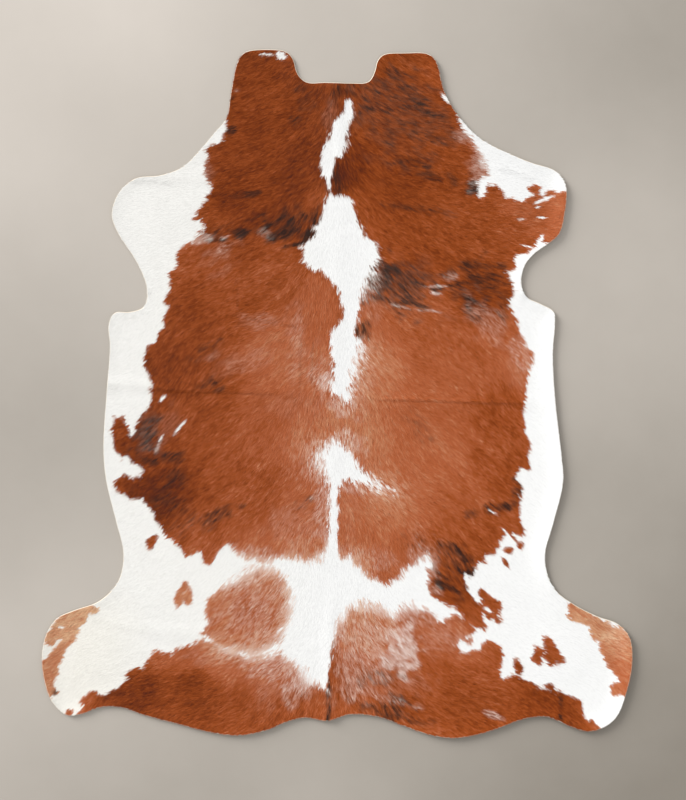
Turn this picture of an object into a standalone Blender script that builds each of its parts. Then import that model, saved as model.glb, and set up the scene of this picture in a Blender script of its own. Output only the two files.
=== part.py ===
"""A cowhide rug: one whole hair-on hide, lying flat with its hair up.

The hide is one closed solid of leather and flat-lying coat. It rests on its flesh side, and its
rim, folds and leg roots stand a few millimetres off the floor.
The origin is the middle of the rug's footprint, on the floor. +Y points to the neck, +Z up.
"""

from collections import namedtuple
import math

import bmesh
import bpy
from mathutils.geometry import delaunay_2d_cdt
import numpy as np

MM = 0.001

# Driving sizes, in metres.
RUG_WIDTH = 1.80
RUG_LENGTH = 2.10
LEATHER_THICKNESS = 2.0 * MM
COAT_THICKNESS = 2.5 * MM
COAT_AT_RIM = 1.0 * MM
COAT_TAPER = 40.0 * MM

# A lifted rim comes down to the floor over CURL_REACH, and further where it stands higher.
CURL_REACH = 40.0 * MM
CURL_REACH_PER_LIFT = 11.0
FOLD_RUN_OUT = 110.0 * MM

# How closely the surface is divided, in metres. A row of points runs along the rim at each inset.
RimRow = namedtuple("RimRow", "inset step")
RIM_STEP = 15.0 * MM
RIM_ROWS = (
    RimRow(12.0 * MM, 20.0 * MM),
    RimRow(34.0 * MM, 32.0 * MM),
    RimRow(70.0 * MM, 48.0 * MM),
)
RIM_CLEARANCE = 10.0 * MM
FOLD_STEP = 32.0 * MM
FOLD_PIECES = 16
FIELD_STEP = 52.0 * MM
CURVE_PIECES = 14
CLOSEST_SHARE = 0.62
SAME_POINT = 0.0001 * MM

HIDE_COLOUR = (0.37, 0.14, 0.06, 1.0)
HIDE_ROUGHNESS = 0.55
SHARP_ANGLE = math.radians(40)

# The outline from the neck to the tail, left side and right side of each section, in millimetres.
# Across is +X, along is +Y. Lift is how far the cut edge stands off the floor there.
Section = namedtuple(
    "Section",
    "name left_across left_along left_lift right_across right_along right_lift",
)
SECTIONS = (
    Section("neck notch, middle", -36, 949, 2, 38, 947, 3),
    Section("neck notch, end", -92, 950, 2, 96, 951, 3),
    Section("neck notch, corner", -119, 974, 2, 115, 981, 3),
    Section("neck flap, inner side", -133, 1018, 3, 124, 1014, 4),
    Section("neck flap, inner corner", -153, 1041, 3, 143, 1033, 5),
    Section("neck flap, end", -216, 1049, 4, 208, 1038, 6),
    Section("neck flap, outer corner", -280, 1040, 4, 277, 1035, 6),
    Section("neck flap, outer turn", -301, 1014, 3, 301, 1014, 6),
    Section("neck side", -323, 917, 2, 325, 926, 5),
    Section("neck root", -336, 842, 1, 347, 880, 5),
    Section("shoulder, high", -375, 793, 1, 386, 827, 4),
    Section("shoulder", -419, 741, 1, 434, 780, 4),
    Section("shoulder, low", -469, 692, 1, 494, 746, 4),
    Section("foreleg, upper edge", -535, 666, 2, 590, 705, 5),
    Section("foreleg, upper corner", -615, 655, 3, 668, 677, 6),
    Section("foreleg end, high", -666, 610, 4, 697, 634, 8),
    Section("foreleg end", -686, 545, 5, 692, 540, 9),
    Section("foreleg end, low", -669, 492, 4, 676, 485, 8),
    Section("foreleg, lower edge", -622, 420, 3, 597, 422, 7),
    Section("elbow bay, side", -596, 372, 2, 571, 387, 6),
    Section("elbow bay", -579, 316, 1, 562, 338, 5),
    Section("elbow bay, turn", -588, 266, 1, 576, 297, 5),
    Section("elbow bay, floor", -630, 249, 2, 622, 273, 6),
    Section("flank corner", -678, 246, 3, 660, 250, 7),
    Section("flank, high", -696, 208, 3, 664, 206, 7),
    Section("flank", -692, 146, 2, 658, 125, 6),
    Section("belly, high", -703, -6, 1, 665, -17, 7),
    Section("belly", -712, -165, 1, 684, -188, 8),
    Section("belly, low", -704, -262, 1, 689, -268, 8),
    Section("waist, high", -672, -395, 1, 660, -392, 7),
    Section("waist", -651, -484, 1, 634, -490, 6),
    Section("waist, low", -660, -556, 1, 643, -555, 5),
    Section("thigh bay", -686, -599, 2, 668, -600, 5),
    Section("thigh", -731, -636, 2, 724, -643, 5),
    Section("shank, upper edge", -799, -660, 3, 795, -679, 6),
    Section("shank, upper corner", -853, -685, 4, 857, -702, 7),
    Section("shank end, high", -884, -730, 5, 891, -742, 9),
    Section("shank end", -899, -806, 6, 899, -820, 10),
    Section("shank end, low", -882, -908, 6, 880, -914, 10),
    Section("shank, lower corner", -857, -953, 6, 852, -983, 9),
    Section("hock point", -822, -979, 5, 815, -1014, 9),
    Section("hock", -778, -975, 4, 765, -1028, 8),
    Section("hock bay, outer side", -722, -955, 4, 712, -1013, 8),
    Section("hock bay", -660, -955, 4, 640, -984, 7),
    Section("rump, outer edge", -585, -980, 4, 575, -989, 6),
    Section("rump edge", -480, -1007, 5, 478, -1023, 7),
    Section("rump lobe, outer side", -385, -1031, 6, 408, -1042, 8),
    Section("rump lobe", -300, -1040, 7, 345, -1048, 9),
    Section("rump lobe, inner side", -218, -1026, 6, 274, -1036, 8),
    Section("tail bay, outer side", -160, -1002, 5, 192, -1007, 6),
    Section("tail bay", -100, -987, 4, 125, -984, 5),
    Section("tail", -30, -996, 4, 40, -977, 4),
)

# Folds left by packing and by the legs' roots, in millimetres. A fold is a soft ridge along a
# slightly bowed line, and it runs out at half_width from the line and at the line's two ends.
# A fold that crosses the cut edge starts or ends outside it.
Fold = namedtuple(
    "Fold", "name from_across from_along to_across to_along bow height half_width"
)
FOLDS = (
    Fold("packing fold, left", -790, 30, 25, -16, 6, 4.0, 27),
    Fold("packing fold, right", 120, -20, 690, -28, -5, 4.0, 27),
    Fold("shoulder fold, left", -760, 656, -330, 648, 3, 3.0, 24),
    Fold("shoulder fold, middle", -130, 652, 150, 646, 2, 2.5, 24),
    Fold("spine fold, neck", -2, 1060, 10, 640, 3, 3.5, 24),
    Fold("spine fold, back", 12, 600, -12, -560, -8, 2.0, 34),
    Fold("spine fold, rump", -20, -590, -28, -1100, 4, 5.0, 27),
    Fold("thigh fold, left", -790, -676, -380, -740, -14, 3.5, 36),
    Fold("thigh fold, right", 420, -530, 760, -750, 16, 3.5, 36),
    Fold("hock pleat, inner", 662, -860, 677, -1100, 2, 4.0, 14),
    Fold("hock pleat, outer", 696, -880, 706, -1110, 2, 3.5, 14),
)

# Low swells where the hide never lies quite flat, in millimetres.
Swell = namedtuple("Swell", "name across along radius height")
SWELLS = (
    Swell("left foreleg root", -520, 560, 150, 3.0),
    Swell("right foreleg root", 540, 575, 150, 3.5),
    Swell("left thigh", -690, -800, 160, 4.0),
    Swell("right thigh", 700, -810, 160, 4.5),
    Swell("left rump", -300, -880, 140, 2.5),
    Swell("right rump", 330, -890, 140, 2.5),
)


def clear_scene():
    for old in list(bpy.data.objects):
        bpy.data.objects.remove(old)


def outline_stations():
    """(across, along, lift) in metres: down the left side, then back up the right."""
    left = [(s.left_across, s.left_along, s.left_lift) for s in SECTIONS]
    right = [(s.right_across, s.right_along, s.right_lift) for s in SECTIONS]
    return np.array(left + right[::-1], float) * MM


def smooth_loop(stations):
    """A closed curve through the stations, a parabola's slope at each (centripetal spacing)."""
    after = np.roll(stations, -1, axis=0)
    spacing = np.linalg.norm((after - stations)[:, :2], axis=1) ** 0.5
    spacing_before = np.roll(spacing, 1)
    slope = (after - stations) / spacing[:, None]
    slope_before = np.roll(slope, 1, axis=0)
    tangent = (slope_before * spacing[:, None] + slope * spacing_before[:, None]) / (
        spacing + spacing_before
    )[:, None]
    tangent_after = np.roll(tangent, -1, axis=0)
    pieces = []
    for t in np.arange(CURVE_PIECES) / CURVE_PIECES:
        start = 2 * t**3 - 3 * t**2 + 1
        leave = (t**3 - 2 * t**2 + t) * spacing[:, None]
        arrive = (t**3 - t**2) * spacing[:, None]
        end = -2 * t**3 + 3 * t**2
        pieces.append(start * stations + leave * tangent + arrive * tangent_after + end * after)
    return np.stack(pieces, axis=1).reshape(-1, stations.shape[1])


def fit_to_size(loop):
    """Centres the curve on its box and gives it the rug's width and length."""
    low = loop[:, :2].min(axis=0)
    high = loop[:, :2].max(axis=0)
    size = np.array((RUG_WIDTH, RUG_LENGTH))
    fitted = loop.copy()
    fitted[:, :2] = (loop[:, :2] - (low + high) / 2) * size / (high - low)
    return fitted


def closed(loop):
    """The loop's points with the first one again at the end."""
    return np.vstack((loop, loop[:1]))


def run_along(line):
    """How far along the line each of its points is."""
    steps = np.linalg.norm(np.diff(line[:, :2], axis=0), axis=1)
    return np.concatenate(((0.0,), np.cumsum(steps)))


def evenly_along(loop, step):
    """The closed curve's points, spaced evenly about step apart."""
    line = closed(loop)
    run = run_along(line)
    count = round(run[-1] / step)
    stops = np.arange(count) * run[-1] / count
    return np.stack([np.interp(stops, run, column) for column in line.T], axis=1)


def nearest_on_line(points, line):
    """For each point, its distance from a line of (x, y, value) rows and the value there."""
    start = line[:-1, :2]
    step = line[1:, :2] - start
    share = np.einsum("pri,ri->pr", points[:, None] - start, step) / (step**2).sum(axis=1)
    share = np.clip(share, 0, 1)
    gap = np.linalg.norm(points[:, None] - start - share[..., None] * step, axis=2)
    nearest = gap.argmin(axis=1)
    row = np.arange(len(points))
    change = line[1:, 2] - line[:-1, 2]
    return gap[row, nearest], line[nearest, 2] + share[row, nearest] * change[nearest]


def inside_rim(points, rim):
    """True for each point that the rim goes round."""
    start = rim[:, :2]
    end = np.roll(start, -1, axis=0)
    spans = (start[:, 1] > points[:, None, 1]) != (end[:, 1] > points[:, None, 1])
    rise = np.where(end[:, 1] == start[:, 1], 1.0, end[:, 1] - start[:, 1])
    crossing = start[:, 0] + (points[:, None, 1] - start[:, 1]) * (end - start)[:, 0] / rise
    return (spans & (points[:, None, 0] < crossing)).sum(axis=1) % 2 == 1


def run_out(distance, reach):
    """1 on a form's line, falling smoothly to exactly 0 at its reach."""
    return np.clip(1 - (distance / reach) ** 2, 0, 1) ** 2


def fold_line(fold):
    """(x, y, height) rows along a fold, its height rising from 0 and falling back to 0."""
    start = np.array((fold.from_across, fold.from_along)) * MM
    end = np.array((fold.to_across, fold.to_along)) * MM
    length = np.linalg.norm(end - start)
    side = np.array((start[1] - end[1], end[0] - start[0])) / length
    share = np.linspace(0, 1, FOLD_PIECES + 1)
    bow = fold.bow * MM * 4 * share * (1 - share)
    place = start + share[:, None] * (end - start) + bow[:, None] * side
    rise = np.clip(np.minimum(share, 1 - share) * length / FOLD_RUN_OUT, 0, 1)
    height = fold.height * MM * rise**2 * (3 - 2 * rise)
    return np.column_stack((place, height))


def fold_lift(points, fold):
    distance, height = nearest_on_line(points, fold_line(fold))
    return height * run_out(distance, fold.half_width * MM)


def swell_lift(points, swell):
    distance = np.linalg.norm(points - np.array((swell.across, swell.along)) * MM, axis=1)
    return swell.height * MM * run_out(distance, swell.radius * MM)


def heights(points, rim):
    """The underside's and the top's height over the floor at each point."""
    from_rim, rim_lift = nearest_on_line(points, closed(rim))
    reach = CURL_REACH + CURL_REACH_PER_LIFT * rim_lift
    under = rim_lift * np.clip(1 - from_rim / reach, 0, 1) ** 2
    for fold in FOLDS:
        under = under + fold_lift(points, fold)
    for swell in SWELLS:
        under = np.maximum(under, swell_lift(points, swell))
    coat = COAT_AT_RIM + (COAT_THICKNESS - COAT_AT_RIM) * np.clip(from_rim / COAT_TAPER, 0, 1)
    return under, under + LEATHER_THICKNESS + coat


def rows_beside_rim(rim):
    """Points in rows inside the rim, each row with the step that it wants round it."""
    for inset, step in RIM_ROWS:
        even = evenly_along(rim, step)[:, :2]
        forward = np.roll(even, -1, axis=0) - np.roll(even, 1, axis=0)
        forward /= np.linalg.norm(forward, axis=1)[:, None]
        inward = np.stack((-forward[:, 1], forward[:, 0]), axis=1)
        yield even + inward * inset, step


def rows_along_folds():
    """Points along each fold's line and to both sides of it."""
    for fold in FOLDS:
        line = fold_line(fold)[:, :2]
        run = run_along(line)
        stops = np.linspace(0, run[-1], round(run[-1] / FOLD_STEP))
        row = np.stack([np.interp(stops, run, column) for column in line.T], axis=1)
        forward = (line[-1] - line[0]) / np.linalg.norm(line[-1] - line[0])
        side = np.array((-forward[1], forward[0]))
        reach = fold.half_width * MM
        for offset in (0, -reach / 2, reach / 2, -reach, reach):
            yield row + offset * side, reach / 2


def field_points():
    """A field of points over the rug's box, every other row shifted by half a step."""
    row_step = FIELD_STEP * math.sqrt(3) / 2
    rows, columns = np.mgrid[
        : math.ceil(RUG_LENGTH / row_step) + 1, : math.ceil(RUG_WIDTH / FIELD_STEP) + 1
    ]
    across = (columns + rows % 2 / 2) * FIELD_STEP - RUG_WIDTH / 2
    along = rows * row_step - RUG_LENGTH / 2
    return np.column_stack((across.ravel(), along.ravel()))


def surface_points(rim):
    """The rim's points first, then those inside it, none crowding another."""
    kept = [point for point in rim[:, :2]]
    groups = [*rows_along_folds(), *rows_beside_rim(rim), (field_points(), FIELD_STEP)]
    for points, step in groups:
        room = nearest_on_line(points, closed(rim))[0] > RIM_CLEARANCE
        for point in points[room & inside_rim(points, rim)]:
            if np.linalg.norm(np.array(kept) - point, axis=1).min() > step * CLOSEST_SHARE:
                kept.append(point)
    return np.array(kept)


def hide_mesh(rim):
    """The closed solid: a top and an underside of the same triangles, and a wall at the rim."""
    border = [tuple(range(len(rim)))]
    inside_only = 1
    flat, _, triangles, _, _, _ = delaunay_2d_cdt(
        [tuple(point) for point in surface_points(rim)], [], border, inside_only, SAME_POINT
    )
    flat = np.array([tuple(point) for point in flat])
    under, top = heights(flat, rim)
    mesh = bmesh.new()
    lower = [mesh.verts.new((x, y, z)) for (x, y), z in zip(flat, under)]
    upper = [mesh.verts.new((x, y, z)) for (x, y), z in zip(flat, top)]
    for triangle in triangles:
        mesh.faces.new([upper[i] for i in triangle])
        mesh.faces.new([lower[i] for i in reversed(triangle)])
    for here in range(len(rim)):
        there = (here + 1) % len(rim)
        mesh.faces.new((lower[here], lower[there], upper[there], upper[here]))
    bmesh.ops.recalc_face_normals(mesh, faces=mesh.faces)
    return mesh


def hide_material():
    """Tanned hide with a short, flat, slightly glossy coat."""
    material = bpy.data.materials.new("hair_on_cowhide")
    material.use_nodes = True
    shader = material.node_tree.nodes["Principled BSDF"]
    shader.inputs["Base Color"].default_value = HIDE_COLOUR
    shader.inputs["Roughness"].default_value = HIDE_ROUGHNESS
    shader.inputs["Metallic"].default_value = 0.0
    return material


def add_hide():
    rim = fit_to_size(evenly_along(smooth_loop(outline_stations()), RIM_STEP))
    shape = hide_mesh(rim)
    data = bpy.data.meshes.new("hide")
    shape.to_mesh(data)
    shape.free()
    data.materials.append(hide_material())
    data.shade_smooth()
    data.set_sharp_from_angle(angle=SHARP_ANGLE)
    hide = bpy.data.objects.new("hide", data)
    bpy.context.scene.collection.objects.link(hide)
    return hide


clear_scene()
add_hide()
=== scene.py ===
"""The cowhide rug as it looks: a hair-on hide in rust brown and white, lying on a pale floor.

The tanned skin is one closed sheet, read from the outline and the folds of the rug's own solid.
The coat is some 220,000 tufts of short hair that lie flat on it, combed as they grow: outward from
the spine and towards the tail. Patches, dark brindle and white flecks are laid out in millimetres
from the middle of the rug, +X to the right and +Y to the neck.
"""

from collections import namedtuple
import math

import bmesh
import bpy
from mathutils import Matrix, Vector
from mathutils.bvhtree import BVHTree
from mathutils.geometry import delaunay_2d_cdt
import numpy as np


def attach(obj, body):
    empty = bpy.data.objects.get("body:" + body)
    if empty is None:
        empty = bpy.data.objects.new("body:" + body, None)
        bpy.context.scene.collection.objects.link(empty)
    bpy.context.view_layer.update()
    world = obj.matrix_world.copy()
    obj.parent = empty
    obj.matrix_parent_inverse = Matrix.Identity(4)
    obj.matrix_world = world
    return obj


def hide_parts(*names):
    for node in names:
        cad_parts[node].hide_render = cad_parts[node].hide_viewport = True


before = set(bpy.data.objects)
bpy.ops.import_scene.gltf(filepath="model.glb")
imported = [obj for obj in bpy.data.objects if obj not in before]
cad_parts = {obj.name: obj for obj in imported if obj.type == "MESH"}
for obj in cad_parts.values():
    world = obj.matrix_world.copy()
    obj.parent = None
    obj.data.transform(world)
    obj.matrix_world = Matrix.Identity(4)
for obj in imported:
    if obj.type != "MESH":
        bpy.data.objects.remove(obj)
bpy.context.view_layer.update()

MM = 0.001
TINY = 0.001 * MM
SEED = 7

# The hide: tanned skin, shaved to an even thickness and cut with a slightly slanting knife.
SKIN_THICKNESS = 2.0 * MM
KNIFE_SLANT = 1.7 * MM
RIM_STEP = 5.0 * MM
HAIR_SIDE_STEP = 8.5 * MM
HAIR_SIDE_CLEARANCE = 7.0 * MM
FLESH_SIDE_STEP = 24.0 * MM
FLESH_SIDE_CLEARANCE = 14.0 * MM
SHARP_ANGLE = math.radians(40)

# The coat: a tuft is a lock of hairs that has clumped together, as wide as the streaks look.
TUFT_STEP = 3.7 * MM
TUFT_LENGTH = 14.5 * MM
SHORT_AND_LONG = (0.7, 1.2)
TUFT_WIDTH = 2.8 * MM
TUFT_HEIGHT = 0.68 * MM
TUFT_LIFT = math.radians(4.4)
LEAST_LIFT = 0.6
MOST_LIFT = 1.6
TUFT_LEAN = math.radians(12.0)
WHITE_HAIR_RISE = 0.2
TUFT_OVERHANG = 1.1 * MM
SHORTEST_TUFT = 0.3
CELL_OVERHANG = 1.0 * MM
ROOT_JITTER = 0.45
ROOT_INSET = 0.5 * MM
SWIRL_TURN = 0.16
SWIRL_WAVELENGTH = 90.0 * MM
EDDY_TURN = 0.10
EDDY_WAVELENGTH = 28.0 * MM
COAT_PIECES = ("coat_rump", "coat_loin", "coat_back", "coat_shoulders", "coat_neck")

# The chart is an even grid over the rug on which distances and heights are worked out.
CHART_STEP = 4.0 * MM
CHART_MARGIN = 40.0 * MM
CHART_SMOOTHING = 6

# ---------------------------------------------------------------------------------------------
# Patches, in millimetres. Each is a closed outline of edge points; blend is the width over which
# its hair thins out into the other colour there. Points off the rug only close the outline.
# ---------------------------------------------------------------------------------------------
Patch = namedtuple("Patch", "name brown outline")
PATCHES = (
    Patch("left neck and shoulder", True, (
        (-400, 905, 6), (-338, 840, 8), (-336, 812, 8), (-348, 775, 8), (-380, 762, 10),
        (-398, 742, 10), (-402, 660, 18), (-376, 622, 10), (-408, 590, 8), (-440, 532, 8),
        (-418, 524, 8), (-404, 506, 10), (-418, 496, 12), (-418, 486, 16), (-432, 467, 22),
        (-486, 434, 8), (-489, 390, 8), (-514, 372, 8), (-513, 310, 8), (-531, 284, 8),
        (-516, 262, 8), (-531, 230, 8), (-532, 200, 8), (-549, 178, 8), (-553, 148, 6),
        (-580, 143, 6), (-588, 100, 6), (-586, 62, 6), (-569, 42, 8), (-400, -60, 8),
        (60, -60, 8), (60, 1120, 8), (-340, 1120, 8),
    )),
    Patch("left belly", True, (
        (-588, 100, 6), (-586, 62, 6), (-569, 42, 8), (-565, 26, 8), (-575, 10, 8),
        (-569, -20, 8), (-582, -56, 8), (-594, -67, 8), (-628, -131, 6), (-656, -70, 6),
        (-683, -71, 6), (-690, -122, 6), (-690, -144, 6), (-664, -201, 6), (-641, -194, 6),
        (-627, -215, 6), (-602, -220, 8), (-590, -234, 8), (-604, -251, 8), (-628, -259, 6),
        (-638, -241, 6), (-649, -242, 6), (-671, -264, 6), (-683, -288, 6), (-654, -305, 6),
        (-630, -330, 6), (-595, -315, 6), (-557, -374, 8), (-561, -385, 8), (-541, -401, 8),
        (-529, -432, 8), (-499, -447, 8), (-461, -498, 8), (-416, -482, 8), (-410, -508, 6),
        (-388, -523, 6), (-352, -466, 8), (-334, -464, 12), (-250, -400, 12), (-250, 100, 8),
    )),
    Patch("back and loin", True, (
        (-410, -508, 6), (-388, -523, 6), (-352, -466, 8), (-334, -464, 12), (-308, -488, 22),
        (-213, -516, 34), (-180, -500, 24), (-146, -497, 26), (-100, -510, 30), (-60, -506, 34),
        (-36, -480, 30), (-22, -440, 20), (-12, -440, 12), (-2, -470, 12), (6, -500, 20),
        (40, -502, 30), (74, -527, 30), (105, -566, 22), (148, -584, 18), (178, -573, 20),
        (210, -539, 24), (253, -506, 26), (275, -500, 22), (360, -400, 12), (420, -300, 8),
        (420, 100, 8), (-420, 100, 8), (-450, -380, 8),
    )),
    Patch("tongue from the right flank to the thigh", True, (
        (253, -506, 26), (279, -491, 22), (289, -508, 18), (293, -521, 18), (285, -535, 18),
        (284, -593, 16), (290, -612, 12), (337, -649, 10), (356, -650, 10), (370, -661, 10),
        (392, -704, 8), (452, -723, 8), (459, -714, 8), (449, -691, 8), (446, -656, 8),
        (408, -612, 6), (388, -557, 8), (393, -551, 8), (403, -564, 8), (416, -560, 8),
        (429, -519, 8), (450, -516, 8), (457, -494, 8), (475, -493, 8), (498, -467, 8),
        (501, -446, 8), (516, -436, 6), (505, -409, 4), (526, -436, 6), (572, -431, 6),
        (576, -414, 6), (556, -372, 8), (562, -321, 6), (480, -200, 8), (250, -300, 8),
    )),
    Patch("ring beside the tongue", True, (
        (428, -612, 6), (441, -597, 6), (496, -636, 6), (500, -661, 6), (492, -663, 6),
        (501, -697, 6), (493, -702, 6), (482, -690, 6), (468, -695, 6), (457, -686, 6),
        (440, -655, 6), (446, -640, 6),
    )),
    Patch("right side", True, (
        (556, -372, 8), (566, -283, 6), (546, -252, 6), (560, -230, 6), (586, -235, 6),
        (591, -180, 6), (586, -133, 6), (568, -78, 8), (581, 62, 8), (596, 78, 8),
        (598, 122, 10), (584, 144, 14), (562, 171, 14), (549, 220, 12), (530, 242, 12),
        (526, 261, 10), (539, 309, 8), (538, 328, 8), (519, 368, 8), (523, 376, 8), (541, 383, 8),
        (546, 420, 6), (400, 520, 8), (40, 520, 8), (40, -100, 8), (300, -330, 8), (480, -400, 8),
    )),
    Patch("right neck, shoulder and foreleg", True, (
        (519, 368, 8), (545, 391, 8), (548, 420, 6), (586, 429, 6), (629, 480, 5), (624, 460, 5),
        (700, 444, 6), (760, 440, 6), (760, 640, 6), (674, 613, 6), (650, 622, 6), (632, 609, 6),
        (622, 613, 6), (628, 627, 6), (610, 639, 6), (587, 624, 6), (599, 606, 6), (568, 586, 6),
        (514, 600, 8), (512, 613, 8), (501, 622, 8), (458, 640, 8), (455, 604, 8), (444, 586, 8),
        (433, 600, 8), (430, 642, 10), (458, 669, 26), (450, 690, 30), (440, 730, 26),
        (414, 772, 20), (386, 797, 10), (372, 838, 8), (330, 905, 8), (380, 930, 8),
        (340, 1120, 8), (0, 1120, 8), (0, 300, 8), (400, 300, 8),
    )),
    Patch("right half of the rump", True, (
        (-34, -1120, 6), (-31, -900, 6), (-20, -810, 8), (6, -702, 26), (46, -652, 34),
        (92, -648, 38), (141, -662, 34), (172, -690, 40), (218, -650, 34), (254, -660, 32),
        (293, -675, 18), (305, -682, 10), (309, -702, 8), (324, -702, 8), (327, -687, 8),
        (364, -676, 8), (413, -704, 10), (423, -724, 8), (420, -735, 8), (400, -740, 8),
        (424, -754, 6), (418, -762, 6), (403, -767, 6), (386, -758, 8), (374, -761, 8),
        (378, -790, 10), (400, -795, 8), (416, -784, 6), (433, -784, 6), (438, -768, 6),
        (460, -756, 6), (498, -767, 6), (511, -800, 6), (500, -838, 6), (503, -876, 6),
        (523, -870, 8), (531, -856, 8), (540, -853, 8), (585, -886, 8), (597, -879, 8),
        (622, -902, 8), (648, -907, 8), (642, -890, 6), (653, -887, 6), (665, -898, 6),
        (673, -916, 6), (682, -907, 6), (738, -935, 6), (757, -967, 6), (754, -986, 6),
        (766, -1008, 4), (774, -995, 6), (784, -995, 6), (794, -1020, 6), (800, -1120, 6),
    )),
    Patch("left half of the rump", True, (
        (-6, -1120, 6), (-850, -1120, 6), (-800, -985, 6), (-775, -956, 8), (-785, -938, 8),
        (-758, -919, 8), (-757, -912, 8), (-738, -909, 8), (-736, -918, 8), (-717, -927, 8),
        (-692, -909, 8), (-677, -907, 8), (-646, -869, 8), (-636, -846, 8), (-614, -835, 8),
        (-595, -838, 8), (-565, -796, 8), (-550, -785, 10), (-532, -794, 10), (-520, -790, 10),
        (-509, -796, 10), (-477, -778, 12), (-403, -755, 20), (-340, -776, 34), (-280, -800, 40),
        (-174, -804, 30), (-108, -853, 40), (-86, -886, 36), (-56, -898, 20), (-10, -908, 8),
    )),
    Patch("hip spot", True, (
        (-205, -536, 34), (-164, -572, 34), (-139, -627, 34), (-148, -691, 38), (-203, -778, 40),
        (-265, -800, 40), (-340, -785, 34), (-414, -730, 8), (-397, -696, 10), (-404, -656, 10),
        (-394, -624, 14), (-289, -556, 34), (-239, -533, 36),
    )),
    Patch("left hind shank", True, (
        (-758, -640, 5), (-734, -650, 5), (-724, -668, 5), (-735, -677, 5), (-758, -676, 5),
        (-786, -715, 6), (-799, -750, 6), (-829, -776, 6), (-837, -814, 6), (-860, -850, 6),
        (-857, -858, 6), (-872, -895, 5), (-853, -912, 5), (-890, -945, 5), (-960, -860, 5),
        (-920, -812, 5), (-895, -809, 5), (-872, -789, 5), (-844, -752, 4), (-870, -769, 5),
        (-888, -763, 5), (-858, -676, 8), (-880, -640, 5),
    )),
    Patch("right hind shank", True, (
        (730, -620, 5), (707, -643, 5), (707, -675, 5), (718, -689, 5), (778, -711, 6),
        (772, -738, 5), (780, -752, 5), (806, -757, 6), (806, -780, 6), (823, -825, 6),
        (859, -879, 6), (832, -896, 5), (838, -913, 5), (849, -924, 5), (866, -913, 5),
        (877, -924, 5), (960, -930, 5), (980, -780, 14), (870, -716, 20), (812, -697, 6),
        (784, -677, 5), (830, -650, 6),
    )),
    Patch("right thigh island", True, (
        (602, -768, 5), (619, -771, 5), (640, -790, 5), (626, -745, 5), (645, -742, 5),
        (659, -750, 5), (665, -768, 5), (697, -812, 5), (691, -827, 5), (681, -831, 5),
        (667, -822, 5), (653, -831, 5), (628, -806, 5), (628, -825, 5), (619, -832, 5),
        (605, -825, 5), (599, -808, 5),
    )),
    Patch("blaze on the neck", False, (
        (34, 896, 8), (46, 888, 8), (53, 838, 12), (33, 812, 14), (32, 765, 14), (16, 728, 12),
        (-2, 716, 10), (-20, 642, 6), (-20, 606, 6), (-27, 606, 6), (-28, 640, 8), (-43, 665, 14),
        (-52, 695, 12), (-44, 747, 16), (-10, 826, 10), (18, 857, 8),
    )),
    Patch("blaze on the withers", False, (
        (-24, 612, 6), (-34, 590, 10), (-37, 560, 12), (-50, 546, 12), (-50, 533, 12),
        (-76, 503, 10), (-69, 494, 10), (-76, 480, 10), (-92, 459, 10), (-120, 445, 10),
        (-104, 429, 10), (-102, 413, 8), (-112, 400, 8), (-46, 368, 10), (-9, 330, 12),
        (7, 296, 12), (19, 250, 12), (6, 208, 12), (-20, 184, 10), (-14, 73, 12), (-17, 36, 18),
        (-15, 0, 26), (8, -16, 30), (30, -35, 24), (45, -36, 24), (47, 13, 36), (58, 59, 46),
        (74, 100, 46), (80, 140, 40), (72, 163, 24), (52, 176, 12), (72, 264, 16),
        (88, 318, 30), (97, 337, 34), (108, 358, 30), (125, 396, 16), (136, 409, 12),
        (121, 456, 12), (90, 482, 14), (62, 527, 10), (48, 590, 10),
    )),
    Patch("blaze on the loin and the line down the spine", False, (
        (2, -134, 24), (30, -164, 24), (55, -199, 16), (78, -238, 22), (172, -302, 36),
        (126, -292, 40), (72, -276, 26), (22, -268, 16), (1, -300, 10), (5, -540, 8),
        (-24, -540, 8), (-24, -310, 20), (-34, -262, 40), (-58, -228, 56), (-62, -192, 56),
        (-36, -160, 40),
    )),
)

# Small spots: an oval at a place, its long side turned by angle degrees from +X.
Spot = namedtuple("Spot", "name brown across along length width angle")
SPOTS = (
    Spot("left flank, slanting", True, -568, -454, 52, 24, 62),
    Spot("left thigh, upper", True, -467, -594, 34, 18, 78),
    Spot("left thigh, left lobe", True, -481, -624, 58, 30, 82),
    Spot("left thigh, right lobe", True, -455, -621, 58, 32, 84),
    Spot("left hock point", True, -819, -973, 24, 16, 0),
    Spot("right thigh islet", True, 554, -835, 46, 24, -68),
    Spot("right flank strand", True, 541, -443, 44, 6, -46),
    Spot("right flank, outer", True, 560, -467, 28, 22, 80),
    Spot("right flank, middle", True, 527, -479, 30, 18, 20),
    Spot("right flank, inner", True, 516, -518, 38, 14, -55),
    Spot("ring slit", False, 461, -660, 30, 13, -36),
    Spot("neck flap end, left", False, -216, 1034, 44, 8, -6),
    Spot("neck flap end, right", False, -172, 1031, 36, 20, -24),
    Spot("foreleg wedge", False, 637, 593, 64, 11, 20),
    Spot("foreleg slit, upper", False, 615, 568, 14, 5, 8),
    Spot("foreleg slit, lower", False, 627, 537, 26, 5, -6),
    Spot("foreleg edge", False, 580, 448, 40, 8, -16),
    Spot("right neck edge", False, 333, 897, 42, 13, -52),
    Spot("left side triangle", False, -534, -17, 26, 13, 50),
    Spot("long slit", False, -480, -104, 64, 10, 48),
    Spot("short slit", False, -537, -134, 30, 8, 60),
    Spot("shank fleck", False, -843, -715, 26, 10, 4),
    Spot("right side slit", False, 477, -364, 32, 6, -30),
    Spot("right side slit, low", False, 513, -420, 42, 5, -44),
)

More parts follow.
